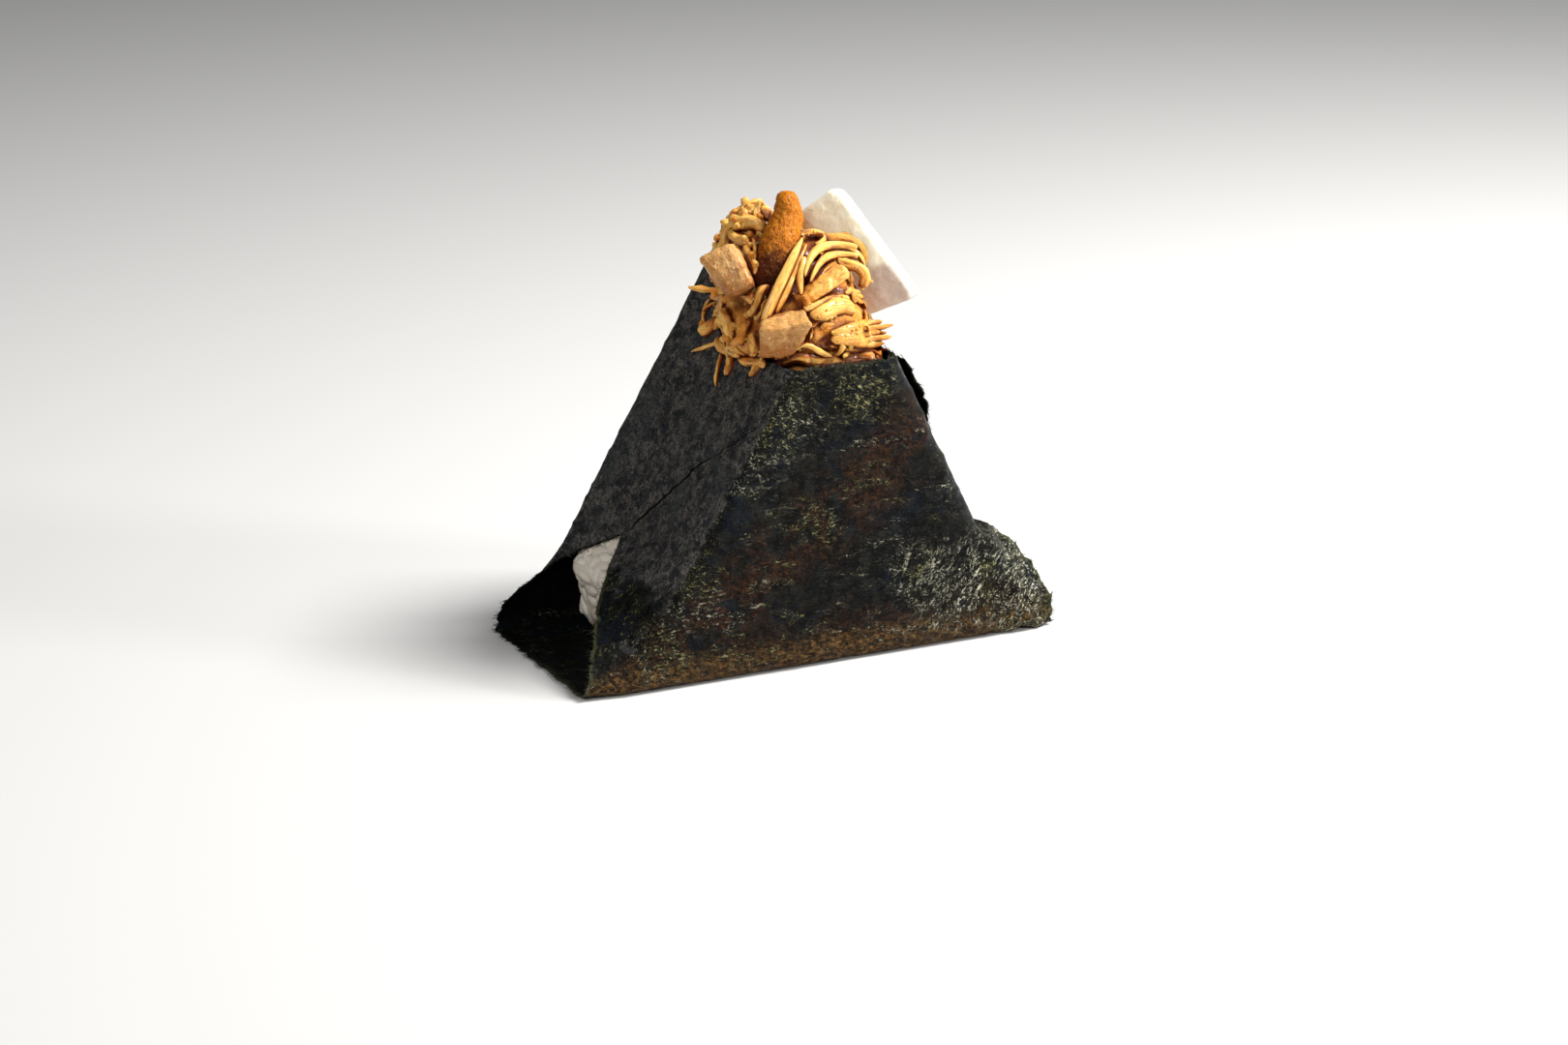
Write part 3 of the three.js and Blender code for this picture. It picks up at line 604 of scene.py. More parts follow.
# ---------------------------------------------------------------- the nori sheet
# Stops run from the ground up: [height, degrees] and [height, length].
CORNERS = {
    "front left": (
        3.5,
        [[0, 4], [4, 18], [9, 38], [15, 62], [21, 82], [25, 90]],
        [[0, 8], [4, 8.4], [9, 9.9], [12, 11.9], [15, 14.7], [18, 17.3], [24, 26], [34, 33], [62, 37]],
    ),
    "front right": (
        5,
        [[0, 5], [9, 25], [15, 43], [20, 60], [22.5, 88], [28, 90]],
        [[0, 4.8], [6, 8], [11, 9.3], [16, 9.2], [20, 8.8], [22.5, 9.2], [24, 19], [38, 31], [62, 36]],
    ),
    "back left": (
        3,
        [[0, 2], [8, 10], [11, 30], [14, 80], [17, 90]],
        [[0, 5.8], [5, 7.2], [8, 5.8], [10, 2.8], [12, 0.6], [14, 0.6], [16, 3], [20, 7.4],
         [27, 16.5], [37, 23], [48, 29.8], [58, 40], [63, 44], [79, 44]],
    ),
    "back right": (
        4,
        [[0, 3], [7, 12], [11, 30], [15, 72], [19, 88], [32, 90], [46, 80], [60, 73], [79, 78]],
        [[0, 8], [6, 9], [11, 8], [15, 8.5], [24, 18], [42, 28], [60, 29.5], [79, 33]],
    ),
}


def along(stops, heights):
    """A value that runs between its stops, with the corners of the run rounded off."""
    places, values = zip(*stops)
    near = [np.interp(heights + step, places, values) for step in (-1.2, -0.6, 0, 0.6, 1.2)]
    return sum(near) / len(near)


def quarter_turn(count=7):
    for angle in np.linspace(0, math.pi / 2, count, endpoint=False):
        yield math.cos(angle), math.sin(angle)


def sheet_rows():
    """The sheet's middle line from the front panel's upper edge, down, under and up the back: for each row
    how far it belongs to the outer layer, y, height, and which way a flap folds in."""
    half = THICKNESS / 2 - BOTTOM_RADIUS
    rows = []
    for height in np.linspace(FRONT_TOP, BOTTOM_RADIUS, 76, endpoint=False):
        rows.append((0, -THICKNESS / 2, height, 1, 0))
    for c, s in quarter_turn():
        rows.append((0, -half - BOTTOM_RADIUS * c, BOTTOM_RADIUS * (1 - s), c, s))
    for share in np.linspace(0, 1, 34, endpoint=False):
        rows.append((share, half * (2 * share - 1), 0, 0, 1))
    for c, s in quarter_turn():
        rows.append((1, half + BOTTOM_RADIUS * s, BOTTOM_RADIUS * (1 - c), -s, c))
    for height in np.linspace(BOTTOM_RADIUS, BACK_TOP, 92):
        rows.append((1, THICKNESS / 2, height, -1, 0))
    return np.array(rows).T[:, :, None]


def half_columns():
    """Shares of one half row: across the face, round the bend and along the flap."""
    face = [(a, 0, 0) for a in np.linspace(0, 1, 34, endpoint=False)]
    bend = [(1, b, 0) for b in np.linspace(0, 1, 12, endpoint=False)]
    flap = [(1, 1, c) for c in np.linspace(0, 1, 46)]
    return np.array(face + bend + flap).T[:, None, :]


def half_sheet(side, rows, columns):
    """One half of the folded sheet: its points, and how far each is on a flank and off a flap's edge."""
    outer, y, height, in_y, in_z = rows
    face, bend, flap = columns
    name = "left" if side < 0 else "right"
    front, back = CORNERS["front " + name], CORNERS["back " + name]
    radius = front[0] + (back[0] - front[0]) * outer
    turn, reach = (
        (1 - outer) * along(front[k], height) + outer * along(back[k], height) for k in (1, 2)
    )
    turn = np.radians(turn)
    ragged = [noise.fractal((7 * side, h * 0.5, y0 * 0.5), 0.8, 2.2, 5) for h, y0 in zip(height.flat, y.flat)]
    reach = reach + 0.75 * np.array(ragged)[:, None]
    on_face = 100 * (flap == 0)
    to_edge = reach * (1 - flap) + on_face
    tuck = EDGE_TUCK + UPPER_TUCK * smoothstep(height, 36, 44)
    layer = outer * (LAYER_STEP - tuck * smoothstep(to_edge, 5, 0)) * smoothstep(height, 0, 12)
    drop = SIDE_DROP[name] * (height / BACK_TOP) ** 1.5
    level = height + 0 * flap
    # the width depends on the level, which drops with the depth: three rounds settle it
    for _ in range(3):
        left, right = (corner_x(s, level) - outer * BACK_SKEW for s in (-1, 1))
        middle = (left + right) / 2
        distance = (right - left) / 2 + layer
        soft = np.minimum(radius, 0.85 * distance / np.tan(turn / 2))
        straight = distance - soft * np.tan(turn / 2)
        beyond = reach * flap
        across = straight * face + soft * np.sin(turn * bend) + beyond * np.cos(turn)
        depth = soft * (1 - np.cos(turn * bend)) + beyond * np.sin(turn)
        level = height - outer * drop * smoothstep(depth, 1, 19)
    flank = (bend + 0 * height) * np.clip(turn / math.radians(80), 0, 1)
    # the left flap leans in, onto the layer that the back's skew would hold it off
    leaning = outer * (side < 0) * (BACK_SKEW - 0.3) * smoothstep(depth, 2, 20)
    points = np.stack([middle + side * across + leaning, y + in_y * depth, level + in_z * depth], -1)
    return points, flank, to_edge


def dents(points):
    """How far each point is pushed out: dents and creases all over, and a rumpled ear at the right foot."""
    shift = np.empty(points.shape[:2])
    for index in np.ndindex(*shift.shape):
        x, y, z = points[index]
        rumple = 1.0 if 3 < z else 0.2
        ear = max(0.0, min(1.0, (x - 36) / 8)) * max(0.0, min(1.0, (27 - z) / 6))
        broad = noise.noise((x / 11, y / 11, z / 11))
        tight = noise.fractal((x / 4.2, y / 4.2, z / 4.2), 1.0, 2.0, 3)
        crease = 1 - abs(noise.noise((x / 5 + 9, y / 5, z / 9)))
        fold = 1 - abs(noise.noise((x / 12, y / 12 + 5, z / 5)))
        shift[index] = rumple * (0.26 * broad + 0.17 * tight + 0.22 * (max(fold, 0.86) - 0.86) / 0.14)
        shift[index] += ear * (1.1 * tight + 1.8 * (crease - 0.8))
    return shift


def roughen_upper_edges(points, rows_moved=5):
    for row, way in ((0, 1), (len(points) - 1, -1)):
        for column in range(points.shape[1]):
            x, y, z = points[row, column]
            lift = 0.5 * noise.fractal((x * 0.5, y * 0.5, 3.0), 1.0, 2.0, 4)
            for step in range(rows_moved):
                points[row + way * step, column, 2] += lift * (1 - step / rows_moved)


def nori_sheet():
    """The sheet, and its free edges for the fringe: each a line of points and a line just within it."""
    rows, columns = sheet_rows(), half_columns()
    left, right = (half_sheet(side, rows, columns) for side in (-1, 1))
    points, flank, to_edge = (np.concatenate([a[:, :0:-1], b], axis=1) for a, b in zip(left, right))
    flank[points[..., 0] > 0] = 0
    outward = np.cross(np.gradient(points, axis=0), np.gradient(points, axis=1))
    outward /= np.linalg.norm(outward, axis=2, keepdims=True)
    points = points + outward * (SHEET_OUTSIDE + dents(points)[..., None])
    roughen_upper_edges(points)
    points[..., 2] = np.maximum(points[..., 2] + SHEET_LIFT, 0.02)
    rim = [(points[:, 0], points[:, 2]), (points[:, -1], points[:, -3])]
    rim += [(points[0], points[2]), (points[-1], points[-3])]

    count_down, count_across = flank.shape
    bpy.ops.mesh.primitive_grid_add(x_subdivisions=count_across - 1, y_subdivisions=count_down - 1, size=1)
    sheet = named("nori")
    laid = points_of(sheet) * MM + 0.5
    column = np.rint(laid[:, 0] * (count_across - 1)).astype(int)
    row = np.rint((1 - laid[:, 1]) * (count_down - 1)).astype(int)
    move_points(sheet, points[row, column])
    point_values(sheet, "flank", flank[row, column])
    point_values(sheet, "edge", 1 - np.clip(to_edge / 1.2, 0, 1)[row, column])
    outer_count = len(column)
    front = Vector((0, -THICKNESS / 2, FRONT_TOP / 2)) * MM
    if min(sheet.data.polygons, key=lambda p: (p.center - front).length).normal.y > 0:
        all_edited(sheet, bpy.ops.mesh.flip_normals)
    finished_by(sheet, "SOLIDIFY", thickness=SHEET_THICKNESS * MM, offset=-1, use_even_offset=False)
    points = points_of(sheet)
    point_values(sheet, "inside", np.arange(len(points)) >= outer_count)
    point_values(sheet, "ear", smoothstep(points[:, 0], 36, 43) * smoothstep(points[:, 2], 26, 20))
    points[:, 2] = np.maximum(points[:, 2], 0)
    move_points(sheet, points)
    return sheet, rim


def lies_flat(x, y, z):
    """Where the left flap lies on the layer below, and shows no fringe."""
    return x < 0 and 26 < z < 75 and y > -23


def nori_fringe(rim):
    """Fine torn fibres that stand out of the sheet's free edges."""
    draw = random.Random(12)
    bpy.ops.mesh.primitive_cone_add(vertices=4, radius1=0.5, radius2=0.15, depth=1)
    sliver = named("sliver")
    settled(sliver, Z_TO_X @ Matrix.Translation((0, 0, 0.5)))
    made = []
    for edge, within in rim:
        for step in range(1, len(edge) - 1):
            for _ in range(0 if lies_flat(*edge[step]) else draw.choice((1, 2, 2, 3))):
                out = Vector(edge[step] - within[step]).normalized()
                run = Vector(edge[step + 1] - edge[step - 1]).normalized()
                way = out + draw.uniform(-1.1, 1.1) * run + draw.uniform(-0.3, 0.3) * out.cross(run)
                way.normalize()
                side = way.orthogonal().normalized()
                length, width = draw.uniform(0.5, 1.7), draw.uniform(0.10, 0.24)
                turned = Matrix((way * length, side * width, way.cross(side) * width)).transposed()
                start = Vector(edge[step]) - way * 0.4 + run * draw.uniform(-0.5, 0.5)
                copy = copy_of(sliver)
                points = points_of(sliver) * MM @ np.array(turned).T + np.array(start)
                points[:, 2] = np.maximum(points[:, 2], 0.05)
                move_points(copy, points)
                one_value(copy, "tone", draw.random())
                made.append(copy)
    bpy.data.objects.remove(sliver)
    return joined(made, "nori_fringe")


# ---------------------------------------------------------------- rice
def rice_core():
    """A block with the triangle's slopes, drawn in at the top and rounded all round."""
    bpy.ops.mesh.primitive_cube_add(size=1)
    core = named("rice_core")
    points = []
    for x, y, z in points_of(core) * MM:
        height = RICE_FOOT if z < 0 else RICE_TOP
        side, face = (-1 if x < 0 else 1), (-1 if y < 0 else 1)
        slope = LEFT_ANGLE if side < 0 else RIGHT_ANGLE
        skew = BACK_SKEW if face > 0 else 0
        points.append((corner_x(side, height) - side * RICE_INSET / math.sin(slope) - skew,
                       face * (THICKNESS / 2 - RICE_INSET), height))
    move_points(core, points)
    all_edited(
        core,
        lambda: bpy.ops.mesh.bevel(offset=RICE_ROUNDING * MM, segments=4, affect="EDGES"),
        lambda: bpy.ops.mesh.normals_make_consistent(inside=False),
    )
    rebuilt(core, MOUND_VOXEL)
    # the ends bulge halfway up, most at the back, and draw in towards the foot
    points = points_of(core)
    height = points[:, 2]
    behind = smoothstep(points[:, 1], -2, 12) * (points[:, 0] < 0)
    bulge = 1.2 * np.exp(-((height - 27) / 5) ** 2) - (0.16 - 0.08 * behind) * np.clip(24 - height, 0, None)
    bulge += 2.9 * behind * np.exp(-((height - 16) / 6) ** 2)
    bulge -= 0.42 * np.clip(13 - height, 0, None)
    points[:, 0] += np.sign(points[:, 0]) * bulge * smoothstep(abs(points[:, 0]), 10, 22)
    move_points(core, points)
    lumps(core, (4, 1.0))
    return core


def rice_grain():
    """A cooked grain: plump and a little bent."""
    bpy.ops.mesh.primitive_uv_sphere_add(segments=10, ring_count=6, radius=1)
    grain = named("grain")
    settled(grain, Z_TO_X)
    all_edited(grain, lambda: bpy.ops.transform.resize(value=[r * MM for r in GRAIN_RADII]))
    points = points_of(grain)
    points[:, 2] -= 0.045 * points[:, 0] ** 2
    points[:, 1] *= 1 - 0.02 * (points[:, 0] + 1) ** 2
    move_points(grain, points)
    return grain


def copies_over(model, target, tries, spacing, keep, draw, sink, tilt):
    """Copies of a model, laid at any angle over the faces of a target that pass a test."""
    target.data.calc_loop_triangles()
    triangles = target.data.loop_triangles
    order = draw.choices(range(len(triangles)), weights=np.array([t.area for t in triangles]), k=tries)
    chosen, made = [], []
    for index in order:
        triangle = triangles[index]
        a, b, c = (target.data.vertices[v].co for v in triangle.vertices)
        u, v = sorted((draw.random(), draw.random()))
        point = (u * a + (v - u) * b + (1 - v) * c) / MM
        normal = triangle.normal.copy()
        if not keep(point, normal) or any((other - point).length < spacing for other in chosen):
            continue
        chosen.append(point)
        side = normal.orthogonal().normalized()
        side.rotate(Matrix.Rotation(draw.uniform(0, math.tau), 3, normal))
        side = (side + draw.uniform(-tilt, tilt) * normal).normalized()
        up = (normal - normal.dot(side) * side).normalized()
        turned = Matrix((side, up.cross(side), up)).transposed()
        size = Matrix.Diagonal((draw.uniform(0.85, 1.1), draw.uniform(0.9, 1.15), draw.uniform(0.9, 1.15)))
        copy = copy_of(model)
        move_points(copy, points_of(model) @ np.array(turned @ size).T + np.array(point - sink * normal))
        one_value(copy, "tone", draw.random())
        made.append(copy)
    return made


def rice():
    draw = random.Random(4)
    core, grain = rice_core(), rice_grain()
    one_value(core, "tone", 0.4)

    def at_mouth(point, normal):
        end = point.x < -20 or point.x > 24
        return end and point.z < 34 and normal.z > -0.7 and abs(normal.x) > 0.3

    grains = copies_over(grain, core, 12000, GRAIN_SPACING, at_mouth, draw, sink=0.55, tilt=0.15)
    bpy.data.objects.remove(grain)
    grains = joined(grains, "rice_grains")
    points = points_of(grains)
    points[:, 1] = np.clip(points[:, 1], -22.8, 22.8)
    points[:, 2] = np.maximum(points[:, 2], 0.7)
    move_points(grains, points)
    return core, grains


# ---------------------------------------------------------------- chicken
def heap_core():
    """The mound under the shreds, and the plug of it that fills the open top of the wrapper."""
    pieces = []
    frame_matrix = Matrix((HEAP_ACROSS, HEAP_UP, HEAP_OUT)).transposed().to_4x4()
    for centre, radii in MOUND_BALLS:
        bpy.ops.mesh.primitive_ico_sphere_add(subdivisions=4, radius=MM)
        ball = named("mound_ball")
        place = Matrix.Translation(in_heap(*centre) * MM)
        settled(ball, place @ frame_matrix @ Matrix.Diagonal((*[r - SHRED_COVER for r in radii], 1)))
        pieces.append(ball)
    mound = joined(pieces, "heap_core")
    all_edited(mound, bpy.ops.mesh.convex_hull)
    bpy.ops.mesh.primitive_cube_add(size=1)
    plug = named("plug")
    points = []
    for x, y, z in points_of(plug) * MM:
        face, side = (-1 if y < 0 else 1), (-1 if x < 0 else 1)
        height = RICE_TOP if z < 0 else (PLUG_FRONT_TOP if face < 0 else PLUG_BACK_TOP)
        skew = BACK_SKEW if face > 0 else 0
        points.append((corner_x(side, height) - side * PLUG_SIDE_GAP - skew,
                       face * (THICKNESS / 2 - PLUG_FACE_GAP), height))
    move_points(plug, points)
    core = joined([mound, plug], "heap_core")
    rebuilt(core, MOUND_VOXEL)
    lumps(core, (5, 2.2), (2, 0.8))
    points = points_of(core)
    low = points[:, 2] < FRONT_TOP
    points[low, 1] = np.maximum(points[low, 1], -THICKNESS / 2 + 1.0)
    move_points(core, points)
    one_value(core, "tone", 0.2)
    point_vectors(core, "strand_place", points_of(core) * MM)
    return core


# Each model of a shred: its rings as [x, width, thickness, sideways, lift], its sides and its grooves' depth.
SHRED_MODELS = {
    "strand": ([
        (-0.5, 0.3, 0.3, 0, 0), (-0.4, 0.85, 0.9, 0.1, 0), (-0.2, 1.1, 0.9, 0.12, 0),
        (0, 0.8, 1.0, -0.05, 0.1),
        (0.2, 1.1, 0.9, -0.15, 0), (0.4, 0.8, 0.8, 0.1, 0), (0.5, 0.25, 0.3, 0.1, 0)], 8, 0.18),
    "ribbon": ([
        (-0.5, 0.5, 0.3, 0.14, 0), (-0.42, 1.05, 0.8, 0.05, 0), (-0.22, 0.85, 1.0, -0.1, 0.1),
        (0, 1.15, 0.85, 0.06, 0), (0.22, 0.9, 1.1, 0.12, -0.06), (0.4, 1.05, 0.75, -0.04, 0.05),
        (0.5, 0.4, 0.3, -0.16, 0)], 12, 0.24),
    "blade": ([
        (-0.5, 0.25, 0.4, 0, 0), (-0.35, 0.7, 0.8, 0, 0), (-0.1, 1.0, 1.0, 0.03, 0),
        (0.2, 1.05, 1.0, -0.03, 0),
        (0.42, 0.9, 0.8, 0, 0), (0.5, 0.55, 0.4, 0.08, 0)], 10, 0.14),
    "splayed": ([
        (-0.5, 0.35, 0.5, 0, 0), (-0.3, 0.8, 0.9, 0, 0), (-0.05, 1.0, 1.0, 0, 0.05), (0.2, 1.1, 0.8, 0, 0),
        (0.5, 1.2, 0.45, 0, 0)], 8, 0),
    "tine": ([
        (-0.5, 0.55, 0.6, 0, 0), (-0.2, 0.5, 0.7, 0, 0), (0.2, 0.42, 0.6, 0, 0),
        (0.5, 0.12, 0.15, 0, 0)], 6, 0),
    "browned_model": ([
        (-0.5, 0.34, 0.35, 0, 0), (-0.47, 0.54, 0.6, 0, 0), (-0.41, 0.66, 0.8, 0.02, 0),
        (-0.33, 0.74, 0.85, 0.04, 0), (-0.27, 0.80, 0.85, 0.06, 0), (-0.21, 0.97, 0.92, -0.02, 0),
        (-0.05, 1.02, 1.0, -0.04, 0), (0.12, 1.06, 1.0, -0.04, 0), (0.28, 1.0, 0.9, 0, 0),
        (0.42, 0.8, 0.7, 0, 0), (0.5, 0.5, 0.5, 0, 0)], 12, 0),
}


def shred_model(name):
    """A torn shred along x, one unit long, with every other of its sides pressed in."""
    rings, sides, groove = SHRED_MODELS[name]
    bpy.ops.mesh.primitive_cylinder_add(vertices=sides, radius=0.5, depth=1, end_fill_type="NGON")
    shred = named(name)
    settled(shred, Z_TO_X)
    for x, *_ in rings[1:-1]:
        all_edited(shred, lambda: bpy.ops.mesh.bisect(plane_co=(x, 0, 0), plane_no=(1, 0, 0)))
    if groove:
        turn, kept = math.tau / sides, 1 - groove
        pick(shred, lambda v: round(math.atan2(v.co.z, v.co.y) / turn) % 2)
        edited(shred, lambda: bpy.ops.transform.resize(value=(1, kept, kept), center_override=(0, 0, 0)))
    for x, width, thickness, sideways, lift in rings:
        pick(shred, lambda v: abs(v.co.x - x) < 1e-3)
        edited(
            shred,
            lambda: bpy.ops.transform.resize(value=(1, width, thickness), center_override=(x, 0, 0)),
            lambda: bpy.ops.transform.translate(value=(0, sideways, lift)),
        )
    return shred


def splayed_model():
    """A shred whose far end has torn into three prongs."""
    shred, tine = shred_model("splayed"), shred_model("tine")
    tines = []
    for sideways, turn, reach in ((-0.42, -0.5, 0.5), (0.0, 0.08, 0.62), (0.4, 0.55, 0.45)):
        place = Matrix.Translation((0.3 + reach / 2, sideways * 0.8, 0))
        tines.append(copy_of(tine))
        settled(tines[-1], place @ Matrix.Rotation(turn, 4, "Z") @ Matrix.Diagonal((reach, 1.1, 1, 1)))
    bpy.data.objects.remove(tine)
    whole = joined([shred, *tines], "splayed")
    points = points_of(whole) * MM
    points[:, 0] = (points[:, 0] - points[:, 0].min()) / np.ptp(points[:, 0]) - 0.5
    move_points(whole, points / MM)
    return whole


def smooth_line(points, count=24):
    """Even points of a smooth line through the given ones."""
    points = np.array([tuple(p) for p in points], float)
    padded = np.vstack([2 * points[0] - points[1], points, 2 * points[-1] - points[-2]])
    line = []
    for a, b, c, d in zip(padded, padded[1:], padded[2:], padded[3:]):
        for t in np.linspace(0, 1, 12, endpoint=False):
            line.append(0.5 * (2 * b + (c - a) * t + (2 * a - 5 * b + 4 * c - d) * t * t
                               + (3 * b - a - 3 * c + d) * t ** 3))
    line = np.array(line + [points[-1]])
    run = np.concatenate([[0], np.cumsum(np.linalg.norm(np.diff(line, axis=0), axis=1))])
    return np.stack([np.interp(np.linspace(0, run[-1], count), run, line[:, k]) for k in range(3)], 1)


def lay(model, line, width, thickness, flat, draw, uneven):
    """A copy of a shred model, bent along a line with its flat side facing a given way."""
    line = smooth_line(line)
    length = np.linalg.norm(np.diff(line, axis=0), axis=1).sum()
    ahead = np.gradient(line, axis=0)
    ahead /= np.linalg.norm(ahead, axis=1, keepdims=True)
    across = np.cross(np.array(flat), ahead)
    across /= np.linalg.norm(across, axis=1, keepdims=True) + 1e-9
    up = np.cross(ahead, across)
    local = points_of(model) * MM
    place = np.clip((local[:, 0] + 0.5) * (len(line) - 1), 0, len(line) - 1.001)
    step = place.astype(int)
    share = (place - step)[:, None]
    at = lambda table: table[step] * (1 - share) + table[step + 1] * share
    seed = draw.uniform(0, 100)
    wobble = np.array([
        1 + uneven * (2 * noise.noise((x * length / 2.2 + seed, y * 2, z * 2))
                      + 1.2 * noise.noise((x * length / 0.9, y * 3 + seed, z * 3))) for x, y, z in local
    ])
    points = at(line) + at(across) * (local[:, 1] * width * wobble)[:, None]
    copy = copy_of(model)
    move_points(copy, points + at(up) * (local[:, 2] * thickness * wobble)[:, None])
    along_it = ((local[:, 0] * length + seed) * 0.15, local[:, 1] * width, local[:, 2] * thickness)
    point_vectors(copy, "strand_place", np.stack(along_it, 1) * MM)
    return copy


